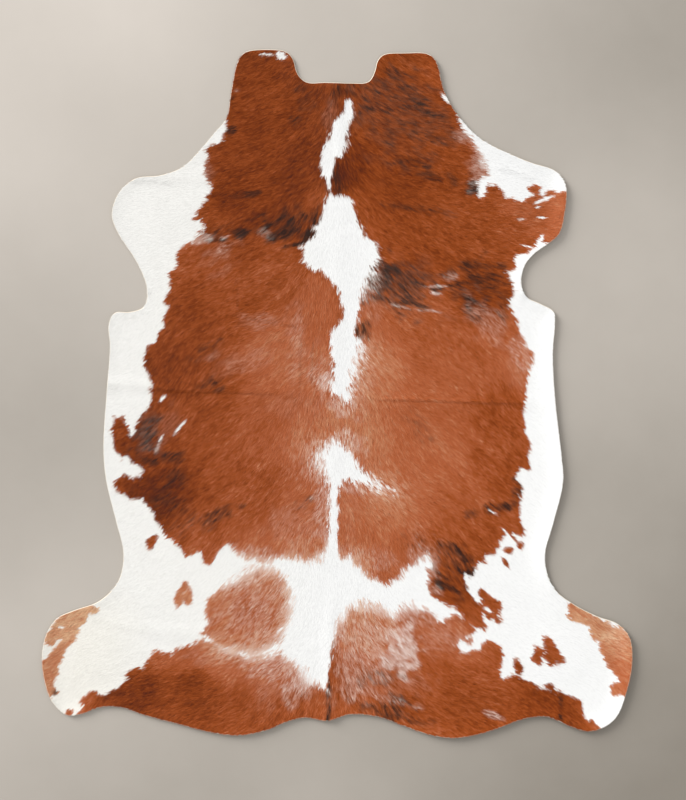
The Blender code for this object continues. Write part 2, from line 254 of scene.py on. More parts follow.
# Marks in the brown hair: length, width and angle as above, and the share of dark hairs, or of
# white ones, in the middle of the mark.
Mark = namedtuple("Mark", "name across along length width angle share")
DARK_MARKS = (
    Mark("left neck spot", -326, 800, 48, 26, 60, 0.55),
    Mark("left neck edge", -319, 904, 22, 12, 60, 0.5),
    Mark("left shoulder streak", -272, 608, 76, 20, 10, 0.5),
    Mark("withers band, upper end", -98, 534, 44, 36, 60, 0.75),
    Mark("withers band, edge", -82, 484, 56, 34, 70, 0.85),
    Mark("withers band, lower end", -125, 455, 60, 14, 8, 0.9),
    Mark("withers band, middle", -166, 494, 110, 30, 4, 0.75),
    Mark("withers band, wide", -136, 514, 210, 84, 16, 0.6),
    Mark("withers band, line", -250, 537, 100, 9, 24, 0.6),
    Mark("withers band, left", -296, 488, 60, 34, 6, 0.8),
    Mark("withers band, joining", -322, 500, 70, 36, 10, 0.4),
    Mark("withers band, outer", -364, 468, 62, 12, 4, 0.75),
    Mark("withers band, outer spot", -368, 486, 66, 34, 0, 0.42),
    Mark("spine, left of it", -62, 556, 60, 40, 60, 0.16),
    Mark("neck, left of the notch", -96, 908, 90, 90, 0, 0.24),
    Mark("left neck, inner", -125, 832, 50, 28, 10, 0.4),
    Mark("neck, by the spine", 4, 928, 50, 60, 0, 0.4),
    Mark("neck, right of the notch", 80, 915, 110, 60, -30, 0.35),
    Mark("spine between the blazes", -4, 650, 60, 90, 0, 0.3),
    Mark("right neck flap", 175, 975, 120, 36, -20, 0.35),
    Mark("right neck, first", 165, 868, 170, 50, -14, 0.45),
    Mark("right neck, second", 262, 872, 100, 34, -20, 0.45),
    Mark("right neck, third", 130, 800, 140, 38, -10, 0.38),
    Mark("right neck, fourth", 300, 776, 100, 34, -14, 0.4),
    Mark("right neck, wide", 190, 850, 320, 230, -20, 0.26),
    Mark("right shoulder, upper", 236, 708, 120, 44, -8, 0.45),
    Mark("right shoulder, middle", 330, 655, 200, 30, -10, 0.28),
    Mark("right shoulder spot", 416, 625, 46, 48, 0, 0.9),
    Mark("right shoulder, lower", 260, 560, 260, 24, -8, 0.22),
    Mark("right withers, top", 146, 358, 130, 84, 14, 0.86),
    Mark("right withers, below", 138, 330, 60, 30, 0, 0.75),
    Mark("right withers, wide", 178, 322, 240, 150, -20, 0.42),
    Mark("right withers, streak", 222, 344, 70, 40, -34, 0.55),
    Mark("right withers, fleck's heart", 300, 318, 36, 10, 0, 0.7),
    Mark("right withers, trail", 222, 282, 130, 40, -16, 0.65),
    Mark("right withers, low", 130, 292, 70, 24, -10, 0.5),
    Mark("right withers, tip", 205, 395, 60, 24, -10, 0.4),
    Mark("right elbow, upper", 400, 388, 110, 44, 14, 0.55),
    Mark("right elbow, streak", 366, 334, 70, 14, 12, 0.6),
    Mark("right elbow, middle", 420, 346, 80, 34, 10, 0.55),
    Mark("right elbow, wide", 430, 330, 220, 140, 10, 0.28),
    Mark("right elbow, lower", 408, 286, 54, 44, 20, 0.6),
    Mark("right elbow, lowest", 420, 235, 60, 26, -30, 0.4),
    Mark("right back spot", 82, 197, 52, 50, 30, 0.45),
    Mark("right side, outer", 512, 290, 70, 120, 0, 0.2),
    Mark("left belly, grey", -588, -128, 150, 76, 80, 0.5),
    Mark("left belly, black", -577, -207, 46, 40, 0, 0.85),
    Mark("left belly, olive", -500, -198, 60, 44, 0, 0.4),
    Mark("left belly, inner", -488, -258, 50, 90, 10, 0.26),
    Mark("left flank", -528, -322, 100, 90, 10, 0.26),
    Mark("left flank, low", -480, -388, 140, 100, 0, 0.14),
    Mark("left loin streaks", -374, -380, 130, 54, 24, 0.34),
    Mark("left side, upper", -405, 128, 110, 50, 35, 0.22),
    Mark("left side, middle", -378, 22, 80, 50, 10, 0.3),
    Mark("left spine", -105, -335, 60, 34, 30, 0.25),
    Mark("right belly streak", 496, -350, 170, 34, 13, 0.45),
    Mark("right side, dark edge", 552, -290, 40, 70, 0, 0.4),
    Mark("tongue, upper", 372, -484, 70, 30, -54, 0.7),
    Mark("tongue, beside it", 405, -505, 40, 26, -40, 0.6),
    Mark("tongue, middle", 380, -543, 40, 20, -30, 0.7),
    Mark("tongue, edge", 410, -548, 46, 28, -60, 0.75),
    Mark("tongue, wide", 356, -530, 180, 110, -60, 0.28),
    Mark("tongue, long streak", 330, -588, 90, 30, -26, 0.86),
    Mark("tongue, short streak", 331, -562, 60, 20, -30, 0.7),
    Mark("right back, faint", 250, -100, 140, 60, -40, 0.11),
    Mark("right loin, faint", 232, -450, 120, 40, -10, 0.12),
    Mark("right rump edge", 150, -972, 200, 40, -12, 0.5),
    Mark("right rump, inner", 200, -950, 90, 60, 0, 0.32),
    Mark("right rump, upper", 130, -870, 130, 40, 10, 0.2),
    # painted shade: the spine crease and the hock pleat are drawn as lines of dark hair along the
    # folds
    Mark("spine crease, upper", -14, -780, 120, 8, 78, 0.34),
    Mark("spine crease", -25, -930, 190, 14, 88, 0.42),
    Mark("hock pleat", 684, -960, 84, 14, 88, 0.3),
    Mark("left shank point", -860, -910, 22, 24, 0, 0.45),
)
FLECK_MARKS = (
    Mark("left neck edge fleck", -310, 924, 22, 14, 20, 0.12),
    # painted sheen: a faint share of white hair over the right neck and withers stands in for the
    # light's sheen on that half
    Mark("right neck, painted sheen", 190, 850, 340, 260, -20, 0.015),
    Mark("right withers, painted sheen", 200, 325, 280, 170, -20, 0.02),
    Mark("foreleg slit, inner", 564, 532, 26, 8, 6, 0.4),
    Mark("left shoulder flecks", -352, 432, 130, 50, 30, 0.07),
    Mark("left band, outer", -402, 470, 60, 26, 20, 0.3),
    Mark("left band, middle", -340, 477, 36, 14, 20, 0.18),
    Mark("left band, lower", -350, 438, 50, 30, 40, 0.12),
    Mark("left band, pale spot", -219, 486, 44, 36, 0, 0.12),
    Mark("left side, upper", -348, 372, 100, 30, 30, 0.04),
    Mark("left back, upper", -232, 222, 130, 46, 0, 0.08),
    Mark("left back, middle", -270, 96, 190, 60, 20, 0.06),
    Mark("left side slit flecks", -388, 112, 80, 26, 20, 0.06),
    Mark("left back, by the spine", -122, 168, 60, 220, 0, 0.08),
    Mark("left back, low by the spine", -50, 50, 70, 150, 0, 0.12),
    Mark("left back, lower", -110, -40, 240, 90, 0, 0.03),
    Mark("left loin, pale by the spine", -58, -195, 120, 60, 80, 0.18),
    Mark("left loin, by the spine", -40, -360, 60, 280, 0, 0.2),
    Mark("left back, pale by the spine", -36, 40, 70, 50, 80, 0.35),
    Mark("left loin", -130, -420, 160, 160, 0, 0.06),
    Mark("left loin edge", -230, -490, 180, 50, 0, 0.1),
    Mark("left belly flecks", -520, -110, 130, 80, 60, 0.04),
    Mark("left belly, grey", -584, -128, 130, 60, 80, 0.05),
    Mark("left belly, below the slit", -546, -160, 44, 9, 72, 0.3),
    Mark("right back, by the spine", 76, 40, 70, 190, 0, 0.06),
    Mark("right back, upper", 110, 262, 110, 80, -20, 0.05),
    Mark("right withers, grey", 108, 350, 50, 120, -22, 0.22),
    Mark("right withers, pale line", 210, 262, 110, 8, -12, 0.24),
    Mark("right withers, fleck, upper", 298, 326, 66, 8, 2, 0.5),
    Mark("right withers, fleck, lower", 298, 306, 54, 10, -8, 0.45),
    Mark("right back fleck", 296, 251, 42, 12, -6, 0.45),
    Mark("right elbow, pale streaks", 350, 354, 60, 26, 20, 0.14),
    Mark("right side, pink", 462, 216, 170, 84, -52, 0.1),
    Mark("right side, lower pink", 562, 116, 140, 60, -64, 0.14),
    Mark("right side streaks", 545, 70, 130, 40, -60, 0.03),
    Mark("right loin edge", 80, -500, 200, 60, -8, 0.1),
    Mark("right back, below the blaze", 16, -45, 100, 60, -40, 0.2),
    Mark("right loin, above the blaze", 50, -150, 130, 56, -50, 0.26),
    Mark("right loin, under the blaze", 45, -294, 90, 40, -10, 0.22),
    Mark("right loin, lower edge", 262, -490, 80, 40, 0, 0.1),
    Mark("right loin, by the spine", 36, -360, 60, 220, 0, 0.03),
    Mark("tongue flecks", 288, -520, 50, 80, 20, 0.16),
    Mark("tongue, lower flecks", 300, -602, 50, 40, -30, 0.18),
    Mark("right rump, roan", 88, -742, 170, 210, 0, 0.2),
    Mark("right rump, pale", 198, -782, 100, 160, -6, 0.46),
    Mark("right rump, upper roan", 246, -690, 170, 90, 0, 0.12),
    Mark("right rump, lower roan", 56, -870, 130, 160, 0, 0.17),
    Mark("right rump, tan flecks", 320, -740, 150, 120, 0, 0.07),
    Mark("right rump, pale edge", 345, -752, 80, 50, 0, 0.1),
    Mark("right rump, dark edge flecks", 160, -935, 200, 22, -14, 0.14),
    Mark("right rump, edge slit", 482, -985, 50, 20, -24, 0.3),
    Mark("right rump, centre", 180, -880, 190, 80, 0, 0.05),
    Mark("right rump, top edge", 170, -668, 320, 44, -4, 0.16),
    Mark("right rump, inner edge", 16, -730, 54, 120, -20, 0.3),
    Mark("left rump, inner", -150, -880, 230, 130, 0, 0.07),
    Mark("left rump, by the spine", -118, -890, 110, 110, 0, 0.36),
    Mark("left rump, upper edge", -330, -795, 230, 60, 0, 0.07),
    Mark("left rump, upper right", -200, -840, 170, 80, 0, 0.2),
    Mark("hip spot", -250, -660, 280, 250, 0, 0.13),
    Mark("hip spot, upper", -270, -570, 200, 60, 30, 0.26),
    Mark("hip spot, inner", -150, -660, 60, 160, 0, 0.2),
    Mark("hip spot, low", -250, -780, 200, 60, 0, 0.16),
    Mark("right neck edge", 425, 690, 60, 130, -10, 0.18),
    Mark("right neck edge, upper", 388, 785, 60, 44, -50, 0.16),
    Mark("left neck edge", -398, 672, 40, 80, 0, 0.1),
    Mark("neck by the blaze", -22, 845, 90, 50, 70, 0.04),
    Mark("right shank, pale", 868, -742, 100, 100, 0, 0.05),
)

# How light the brown is at named places: 0 is the deepest rust, 1 is the pale tan of the shanks.
Tint = namedtuple("Tint", "name across along tint")
TINTS = (
    Tint("left neck flap", -230, 980, 0.30),
    Tint("left neck", -220, 800, 0.30),
    Tint("left neck, low", -160, 700, 0.24),
    Tint("left shoulder", -320, 585, 0.22),
    Tint("left shoulder, outer", -392, 518, 0.44),
    Tint("left withers", -130, 600, 0.20),
    Tint("left withers by the spine", -58, 600, 0.46),
    Tint("left arm", -460, 405, 0.54),
    Tint("left back, upper", -200, 350, 0.53),
    Tint("left back by the spine", -50, 250, 0.70),
    Tint("left back, middle", -150, 120, 0.78),
    Tint("left side, upper", -450, 200, 0.40),
    Tint("left side", -540, 90, 0.26),
    Tint("left back, lower", -200, -80, 0.65),
    Tint("left side, lower", -440, -60, 0.47),
    Tint("left belly", -580, -150, 0.28),
    Tint("left flank", -540, -320, 0.14),
    Tint("left loin", -250, -300, 0.52),
    Tint("left loin by the spine", -90, -380, 0.70),
    Tint("left loin, lower edge", -110, -490, 0.80),
    Tint("left loin, pale", -110, -130, 0.78),
    Tint("left flank, low", -440, -440, 0.52),
    Tint("right neck flap", 220, 980, 0.38),
    Tint("right neck", 220, 830, 0.38),
    Tint("right neck, outer", 330, 800, 0.40),
    Tint("spine spot", 15, 660, 0.12),
    Tint("right shoulder", 200, 620, 0.28),
    Tint("right withers by the spine", 66, 588, 0.48),
    Tint("right shoulder, outer", 400, 540, 0.44),
    Tint("right foreleg", 600, 540, 0.66),
    Tint("right foreleg, low", 560, 475, 0.46),
    Tint("right foreleg end", 680, 540, 0.78),
    Tint("right withers", 250, 450, 0.40),
    Tint("right elbow", 450, 300, 0.36),
    Tint("right back, upper", 280, 200, 0.64),
    Tint("right back by the spine", 120, 80, 0.82),
    Tint("right side, upper", 480, 180, 0.62),
    Tint("right side, outer edge", 575, 95, 0.80),
    Tint("right back, middle", 320, 30, 0.68),
    Tint("right side", 520, -60, 0.52),
    Tint("right loin by the spine", 60, -100, 0.82),
    Tint("right back, lower", 300, -180, 0.74),
    Tint("right side, lower", 520, -200, 0.50),
    Tint("right loin", 180, -340, 0.82),
    Tint("right loin, outer", 400, -350, 0.64),
    Tint("right loin, inner edge", 30, -400, 0.76),
    Tint("right loin, lower edge", 80, -495, 0.82),
    Tint("right loin, lobe", 160, -520, 0.70),
    Tint("tongue", 370, -600, 0.34),
    Tint("tongue root", 322, -520, 0.56),
    Tint("right flank", 490, -410, 0.46),
    Tint("tongue, fingers", 470, -650, 0.50),
    Tint("right rump, inner", 30, -900, 0.56),
    Tint("right rump, roan", 100, -730, 0.82),
    Tint("right rump, upper", 330, -740, 0.74),
    Tint("right rump", 400, -870, 0.46),
    Tint("right rump, top", 400, -805, 0.70),
    Tint("right rump, lower middle", 380, -930, 0.38),
    Tint("right rump, middle", 290, -850, 0.60),
    Tint("right rump, low", 330, -990, 0.48),
    Tint("right rump, outer", 640, -930, 0.26),
    Tint("right thigh islands", 650, -790, 0.50),
    Tint("right shank, upper", 770, -690, 0.92),
    Tint("right shank", 870, -760, 0.90),
    Tint("right shank, low", 860, -860, 0.78),
    Tint("hip spot", -270, -660, 0.68),
    Tint("hip spot, upper", -240, -580, 0.80),
    Tint("hip spot, left", -365, -650, 0.82),
    Tint("hip spot, right", -175, -650, 0.82),
    Tint("hip spot, low", -270, -755, 0.82),
    Tint("left thigh island", -470, -610, 0.86),
    Tint("left rump, outer", -620, -910, 0.24),
    Tint("left rump", -440, -900, 0.30),
    Tint("left rump, upper edge", -470, -800, 0.70),
    Tint("left rump, roan edge", -380, -790, 0.80),
    Tint("left rump, low", -300, -1000, 0.46),
    Tint("left rump, inner", -180, -890, 0.72),
    Tint("left rump, by the tail", -170, -965, 0.46),
    Tint("left shank, upper", -820, -700, 0.96),
    Tint("left shank, low", -870, -850, 0.88),
)

# Which way the hair lies, at named places of the right half; the left half mirrors it. Heading is
# in degrees from straight outwards; -90 points to the tail.
Growth = namedtuple("Growth", "name across along heading")
GROWTHS = (
    Growth("neck flap", 220, 1000, -24),
    Growth("neck, by the notch", 25, 920, -50),
    Growth("neck, beside the spine", 80, 900, -26),
    Growth("neck, middle", 160, 850, -20),
    Growth("neck edge", 330, 860, -14),
    Growth("blaze", 10, 780, -56),
    Growth("neck, beside the blaze", 80, 770, -24),
    Growth("spine at the shoulder", 0, 640, -66),
    Growth("shoulder, by the spine", 80, 640, -22),
    Growth("shoulder", 250, 640, -10),
    Growth("shoulder point", 450, 640, -12),
    Growth("foreleg", 620, 560, -6),
    Growth("foreleg, low", 620, 440, -26),
    Growth("withers", 150, 440, -18),
    Growth("spine at the withers", 0, 420, -80),
    Growth("elbow", 450, 330, -20),
    Growth("back, upper", 250, 240, -24),
    Growth("spine at the back", 0, 150, -85),
    Growth("back, by the spine", 45, 80, -50),
    Growth("back, beside the spine", 110, 100, -32),
    Growth("side, high", 510, 200, -46),
    Growth("side", 520, 40, -58),
    Growth("back, middle", 300, 0, -28),
    Growth("belly edge", 660, 0, -24),
    Growth("side, low", 480, -200, -36),
    Growth("spine at the loin", 0, -250, -87),
    Growth("loin, by the spine", 50, -300, -54),
    Growth("loin, beside the spine", 120, -320, -36),
    Growth("loin", 290, -330, -32),
    Growth("flank", 540, -420, -38),
    Growth("spine at the hip", 0, -560, -88),
    Growth("hip", 190, -600, -56),
    Growth("hip, outer", 350, -640, -40),
    Growth("thigh", 560, -680, -36),
    Growth("rump by the spine", 40, -800, -60),
    Growth("rump, inner", 110, -760, -48),
    Growth("rump", 220, -830, -28),
    Growth("rump, outer", 430, -880, -18),
    Growth("rump edge", 320, -1000, -30),
    Growth("shank root", 680, -860, -26),
    Growth("shank", 830, -800, -30),
    Growth("hock", 800, -950, -44),
    Growth("tail", 0, -980, -90),
    Growth("tail, beside it", 60, -960, -50),
)

# Faint rub lines where the rug lay folded in its pack: the hair stands up a little along them.
Crease = namedtuple("Crease", "name from_across from_along to_across to_along height half_width")
CREASES = (
    Crease("left, upper", -305, 380, -303, 235, 0.9, 7),
    Crease("left, slanting", -290, 236, -108, 206, 0.8, 8),
    Crease("left, by the spine", -112, 200, -116, -10, 0.9, 9),
    Crease("left, second", -76, 190, -79, 0, 0.8, 8),
    Crease("left, across", -572, 16, -190, 2, 1.6, 9),
    Crease("right, across", 80, -12, 600, -28, 1.6, 9),
    Crease("neck, left of the spine", -6, 948, -10, 830, 0.9, 7),
    Crease("neck, right of the spine", 26, 948, 22, 880, 0.9, 7),
    Crease("left foreleg", -655, 655, -480, 640, 0.4, 12),
    Crease("left elbow", -640, 360, -560, 300, 0.7, 18),
    Crease("right shoulder", 470, 700, 610, 650, 0.8, 18),
)
# A crease runs out over a fifth of its length at both ends.
CREASE_END = 0.2

# The hide has settled: its folds stand lower than the solid's, and its rim away from the window
# has curled up a little more.
FOLD_SHARE = 0.42
RIM_CURL = 3.5 * MM
RIM_CURL_REACH = 70.0 * MM
RIM_CURL_TOWARDS = (0.75, -0.66)
CURL_STARTS = -0.2
CURL_IS_FULL = 0.6
FOLD_INSET = 60.0 * MM
SWELL_HEIGHT = 1.1 * MM
SWELL_WAVELENGTH = 170.0 * MM
RIPPLE_HEIGHT = 0.35 * MM
RIPPLE_WAVELENGTH = 55.0 * MM

# Sizes of the coat's own unevenness: ragged patch edges, fine strands of pale and of dark hair,
# locks of one tone, and broad clouds.
RAGGED_EDGE = 3.5 * MM
RAGGED_WAVELENGTH = 20.0 * MM
STRAND_WAVELENGTH = 3.6 * MM
STRAND_LENGTH = 12.0 * MM
DARK_WAVELENGTH = 4.4 * MM
DARK_LENGTH = 20.0 * MM
LOCK_WAVELENGTH = 15.0 * MM
LOCK_LENGTH = 60.0 * MM
CLOUD_WAVELENGTH = 85.0 * MM

# How much of each pattern is in a patch's edge, a spot's edge, a pale streak and a dark streak.
EDGE_RAGGED, EDGE_STRANDS = 0.7, 0.45
SPOT_RAGGED, SPOT_STRANDS = 0.12, 0.1
PALE_STRANDS, PALE_CHANCE = 0.65, 0.75
DARK_STRANDS, DARK_LOCKS, DARK_CHANCE = 0.8, 0.4, 0.5

# How the hair of two colours mixes. A blend narrower than SHARP_BLEND is an edge between two
# coats, and a wider one a slow change through paler, roan hair.
SHARP_BLEND = 16.0 * MM
NARROWEST = 1.0 * MM
SHARPEST = 1.2
EDGE_DRAW = 0.22
ROAN_TINT = 0.08
ROAN_SHARE = 0.15
FLECK_STREAKINESS = 0.3
DARK_STREAKINESS = 0.52

# A mark or spot thins out from inside its oval to beyond it, both in shares of its half size.
MARK_RUNS_OUT = 1.4
MARK_FADE = 0.95
MARK_RAGGED = 0.24
FAINT_MARK = 0.12
SPOT_RUNS_OUT = 1.2
SPOT_FADE = 0.4

# How far each kind of unevenness moves the tint. Hair from PALE_FROM up is more even in tone.
STRAND_TINT = 0.075
LOCK_TINT = 0.04
CLOUD_TINT = 0.05
CHANCE_TINT = 0.1
PALE_FROM = 0.55
PALE_FADE = 0.2
PALE_EVENNESS = 0.62

# The darkest mark, how steeply marks darken, and the one lock in ten that is darker by chance.
DARKEST = 0.92
DARK_CONTRAST = 1.3
DARK_LOCK = 0.25
DARK_LOCK_FROM = 1.2

# How near a named place counts in full for the tint and for the way the hair lies.
TINT_REACH = 40.0 * MM
HEADING_REACH = 50.0 * MM

# White hair is cream on the left thigh and a little on the whole left side, in metres.
CREAM_THIGH_FROM = -0.35
CREAM_THIGH_ACROSS = 0.45
CREAM_THIGH_ALONG = 0.4
CREAM_SIDE_FROM = 0.05
CREAM_SIDE_ACROSS = 0.5
CREAM_SIDE_SHARE = 0.45


# ---------------------------------------------------------------------------------------------
# Noise and distances
# ---------------------------------------------------------------------------------------------
# Noise is read from a tile of chance values, turned so that its rows don't show. A comb stroke
# is one reading of it along the hair.
NOISE_TILE = 512
NOISE_ANGLE = 0.6
NOISE_TURN = np.array(
    (
        (math.cos(NOISE_ANGLE), -math.sin(NOISE_ANGLE)),
        (math.sin(NOISE_ANGLE), math.cos(NOISE_ANGLE)),
    )
)
COMB_STROKES = 9

# how many points from_outline works out at a time
BATCH = 4096


def eased(share):
    """0 below 0, 1 above 1, and a smooth rise between."""
    share = np.clip(share, 0, 1)
    return share * share * (3 - 2 * share)


def soft_noise(points, wavelength, seed):
    """Smooth noise, -1 to 1, that varies over about one wavelength."""
    lattice = np.random.default_rng(1000 * SEED + seed).uniform(-1, 1, (NOISE_TILE, NOISE_TILE))
    place = points @ NOISE_TURN / wavelength
    cell = np.floor(place).astype(int)
    across, along = eased(place - cell).T
    x, y = cell.T % NOISE_TILE
    next_x, next_y = (x + 1) % NOISE_TILE, (y + 1) % NOISE_TILE
    left = lattice[x, y] * (1 - along) + lattice[x, next_y] * along
    right = lattice[next_x, y] * (1 - along) + lattice[next_x, next_y] * along
    return left * (1 - across) + right * across


def combed_noise(points, heading, wavelength, length, seed):
    """Noise drawn out along the hair, as locks of one colour are; its spread is about 1."""
    strokes = [
        soft_noise(points + heading * length * share, wavelength, seed)
        for share in np.linspace(-0.5, 0.5, COMB_STROKES)
    ]
    total = np.sum(strokes, axis=0)
    return total / max(total.std(), 1e-9)


def from_outline(points, outline):
    """How far inside a closed outline each point is, in metres, and the outline's value there.

    The outline's rows are (x, y, value). Outside it the distance is negative.
    """
    start = outline
    end = np.roll(outline, -1, axis=0)
    step = end - start
    length = (step[:, :2] ** 2).sum(axis=1)
    rise = np.where(step[:, 1] == 0, 1.0, step[:, 1])
    distance = np.empty(len(points))
    value = np.empty(len(points))
    for first in range(0, len(points), BATCH):
        batch = slice(first, first + BATCH)
        x = points[batch, 0, None] - start[:, 0]
        y = points[batch, 1, None] - start[:, 1]
        share = np.clip((x * step[:, 0] + y * step[:, 1]) / length, 0, 1)
        gap = (x - share * step[:, 0]) ** 2 + (y - share * step[:, 1]) ** 2
        nearest = gap.argmin(axis=1)
        row = np.arange(len(nearest))
        spans = (y < 0) != (y - step[:, 1] < 0)
        inside = (spans & (x < y * step[:, 0] / rise)).sum(axis=1) % 2 == 1
        side = np.where(inside, 1.0, -1.0)
        distance[batch] = side * np.sqrt(gap[row, nearest])
        value[batch] = start[nearest, 2] + share[row, nearest] * step[nearest, 2]
    return distance, value


# ---------------------------------------------------------------------------------------------
# The rug's own solid: its outline and the height of its underside
# ---------------------------------------------------------------------------------------------
# a wall's faces point up or down by less than this, as the height of their unit normal
WALL_SLOPE = 0.5


def merged_solid():
    """The rug's own solid as one mesh, its loose triangles joined."""
    shape = bmesh.new()
    shape.from_mesh(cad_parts["hide"].data)
    bmesh.ops.remove_doubles(shape, verts=shape.verts, dist=TINY)
    shape.normal_update()
    return shape


def cut_outline(shape):
    """The cut edge in order, anticlockwise from above: there the underside meets the wall."""
    follow = {}
    for edge in shape.edges:
        faces = sorted(edge.link_faces, key=lambda face: face.normal.z)
        if len(faces) == 2 and faces[0].normal.z < -WALL_SLOPE < faces[1].normal.z < WALL_SLOPE:
            a, b = edge.verts
            follow.setdefault(a, []).append(b)
            follow.setdefault(b, []).append(a)
    first = next(iter(follow))
    ring, previous, here = [first], None, first
    while True:
        ahead = follow[here][0] if follow[here][0] is not previous else follow[here][1]
        if ahead is first:
            break
        ring.append(ahead)
        previous, here = here, ahead
    rim = np.array([tuple(vertex.co[:2]) for vertex in ring])
    after = np.roll(rim, -1, axis=0)
    turned = (rim[:, 0] * after[:, 1] - after[:, 0] * rim[:, 1]).sum() < 0
    return rim[::-1] if turned else rim


def smooth_rim(rim, step):
    """The outline with points step apart on a smooth curve through the solid's own points."""
    before, after, next_after = (np.roll(rim, shift, axis=0) for shift in (1, -1, -2))
    pieces = round(np.linalg.norm(after - rim, axis=1).mean() / step)
    curve = []
    for t in np.arange(pieces) / pieces:
        curve.append(
            (
                rim * 2
                + (after - before) * t
                + (before * 2 - rim * 5 + after * 4 - next_after) * t**2
                + (rim * 3 - before - after * 3 + next_after) * t**3
            )
            / 2
        )
    return np.stack(curve, axis=1).reshape(-1, 2)


def outward_of(rim):
    """The direction straight out of the rug at each point of its outline."""
    forward = np.roll(rim, -1, axis=0) - np.roll(rim, 1, axis=0)
    forward /= np.linalg.norm(forward, axis=1)[:, None]
    return np.stack((forward[:, 1], -forward[:, 0]), axis=1)


solid = merged_solid()
RIM = smooth_rim(cut_outline(solid), RIM_STEP)
RIM_OUTWARD = outward_of(RIM)
CHART_LOW = RIM.min(axis=0) - CHART_MARGIN
CHART_SHAPE = np.ceil((RIM.max(axis=0) + CHART_MARGIN - CHART_LOW) / CHART_STEP).astype(int) + 1


def chart_points():
    """The places of all the chart's values, row by row."""
    columns, rows = np.mgrid[: CHART_SHAPE[0], : CHART_SHAPE[1]]
    return CHART_LOW + np.column_stack((columns.ravel(), rows.ravel())) * CHART_STEP


def read_chart(chart, points):
    """The chart's values at any points, evenly between its own."""
    place = (points - CHART_LOW) / CHART_STEP
    cell = np.clip(np.floor(place).astype(int), 0, CHART_SHAPE - 2)
    across, along = np.clip(place - cell, 0, 1).T
    x, y = cell.T
    near = chart[x, y] * (1 - along) + chart[x, y + 1] * along
    far = chart[x + 1, y] * (1 - along) + chart[x + 1, y + 1] * along
    return near * (1 - across) + far * across


def widened(chart, known):
    """The chart with each unknown value taken from its known neighbours, ring by ring."""
    while not known.all():
        total = np.zeros(chart.shape)
        count = np.zeros(chart.shape)
        for axis in (0, 1):
            for shift in (1, -1):
                total += np.roll(np.where(known, chart, 0), shift, axis=axis)
                count += np.roll(known, shift, axis=axis)
        reached = ~known & (count > 0)
        chart = np.where(reached, total / np.maximum(count, 1), chart)
        known = known | reached
    return chart


def blurred(chart):
    """The chart with its steps smoothed out."""
    for _ in range(CHART_SMOOTHING):
        for axis in (0, 1):
            chart = (np.roll(chart, 1, axis) + 2 * chart + np.roll(chart, -1, axis)) / 4
    return chart


def crease_rise(points):
    """The low soft ridges along the creases, running out at both of their ends."""
    rise = np.zeros(len(points))
    for crease in CREASES:
        start = np.array((crease.from_across, crease.from_along)) * MM
        run = np.array((crease.to_across, crease.to_along)) * MM - start
        share = np.clip((points - start) @ run / (run @ run), 0, 1)
        gap = np.linalg.norm(points - start - share[:, None] * run, axis=1)
        ridge = np.clip(1 - (gap / (crease.half_width * MM)) ** 2, 0, 1) ** 2
        rise += crease.height * MM * ridge * eased(np.minimum(share, 1 - share) / CREASE_END)
    return rise


def coat_slope(points):
    """How steeply the coat rises across and along at each point, with the creases in it."""
    reach = 1.5 * MM
    slopes = []
    for chart, way in ((SLOPE_ACROSS, (reach, 0)), (SLOPE_ALONG, (0, reach))):
        rise = crease_rise(points + way) - crease_rise(points - way)
        slopes.append(read_chart(chart, points) + rise / (2 * reach))
    return np.stack(slopes, axis=1)


def rim_curl(rim_distance):
    """The share of the extra curl over the chart: all of it where the rim faces away."""
    smooth_distance = blurred(rim_distance.reshape(CHART_SHAPE))
    outward = -np.stack(np.gradient(smooth_distance, CHART_STEP), axis=-1)
    facing = outward.reshape(-1, 2) @ np.array(RIM_CURL_TOWARDS)
    near_rim = np.clip(1 - np.clip(rim_distance, 0, None) / RIM_CURL_REACH, 0, 1)
    return near_rim**2 * eased((facing - CURL_STARTS) / (CURL_IS_FULL - CURL_STARTS))


def underside_chart(shape, points, rim_distance):
    """How far the underside stands off the floor: the solid's folds, softened, and swells."""
    tree = BVHTree.FromBMesh(shape)
    up = Vector((0, 0, 1))
    height = np.zeros(len(points))
    known = np.zeros(len(points), bool)
    for index in np.flatnonzero(rim_distance > 0):
        hit = tree.ray_cast(Vector((*points[index], -1)), up)[0]
        if hit:
            height[index] = hit.z
            known[index] = True
    height = widened(height.reshape(CHART_SHAPE), known.reshape(CHART_SHAPE))
    height = blurred(height).ravel()
    inner = eased(rim_distance / FOLD_INSET)
    height *= 1 - (1 - FOLD_SHARE) * inner
    swell = soft_noise(points, SWELL_WAVELENGTH, seed=1) * SWELL_HEIGHT
    ripple = soft_noise(points, RIPPLE_WAVELENGTH, seed=2) * RIPPLE_HEIGHT
    height += inner * np.clip(swell, 0, None) + np.clip(inner * ripple, 0, None)
    height += RIM_CURL * rim_curl(rim_distance)
    return height.reshape(CHART_SHAPE)


everywhere = chart_points()
rim_rows = np.column_stack((RIM, np.zeros(len(RIM))))
inside_rim = from_outline(everywhere, rim_rows)[0]
RIM_CHART = inside_rim.reshape(CHART_SHAPE)
UNDERSIDE = underside_chart(solid, everywhere, inside_rim)
SLOPE_ACROSS, SLOPE_ALONG = np.gradient(UNDERSIDE, CHART_STEP)
solid.free()


# ---------------------------------------------------------------------------------------------
# Where each colour of hair grows
# ---------------------------------------------------------------------------------------------
def hair_heading(points):
    """The unit direction in which the hair lies, from the nearest named places on both halves."""
    total = np.zeros((len(points), 2))
    for growth in GROWTHS:
        angle = math.radians(growth.heading)
        for half in (1, -1):
            place = np.array((growth.across * half, growth.along)) * MM
            gap = ((points - place) ** 2).sum(axis=1) + HEADING_REACH**2
            outward = math.cos(angle) * half if growth.across else 0.0
            total += np.array((outward, math.sin(angle))) / gap[:, None] ** 1.5
    return total / np.linalg.norm(total, axis=1)[:, None]


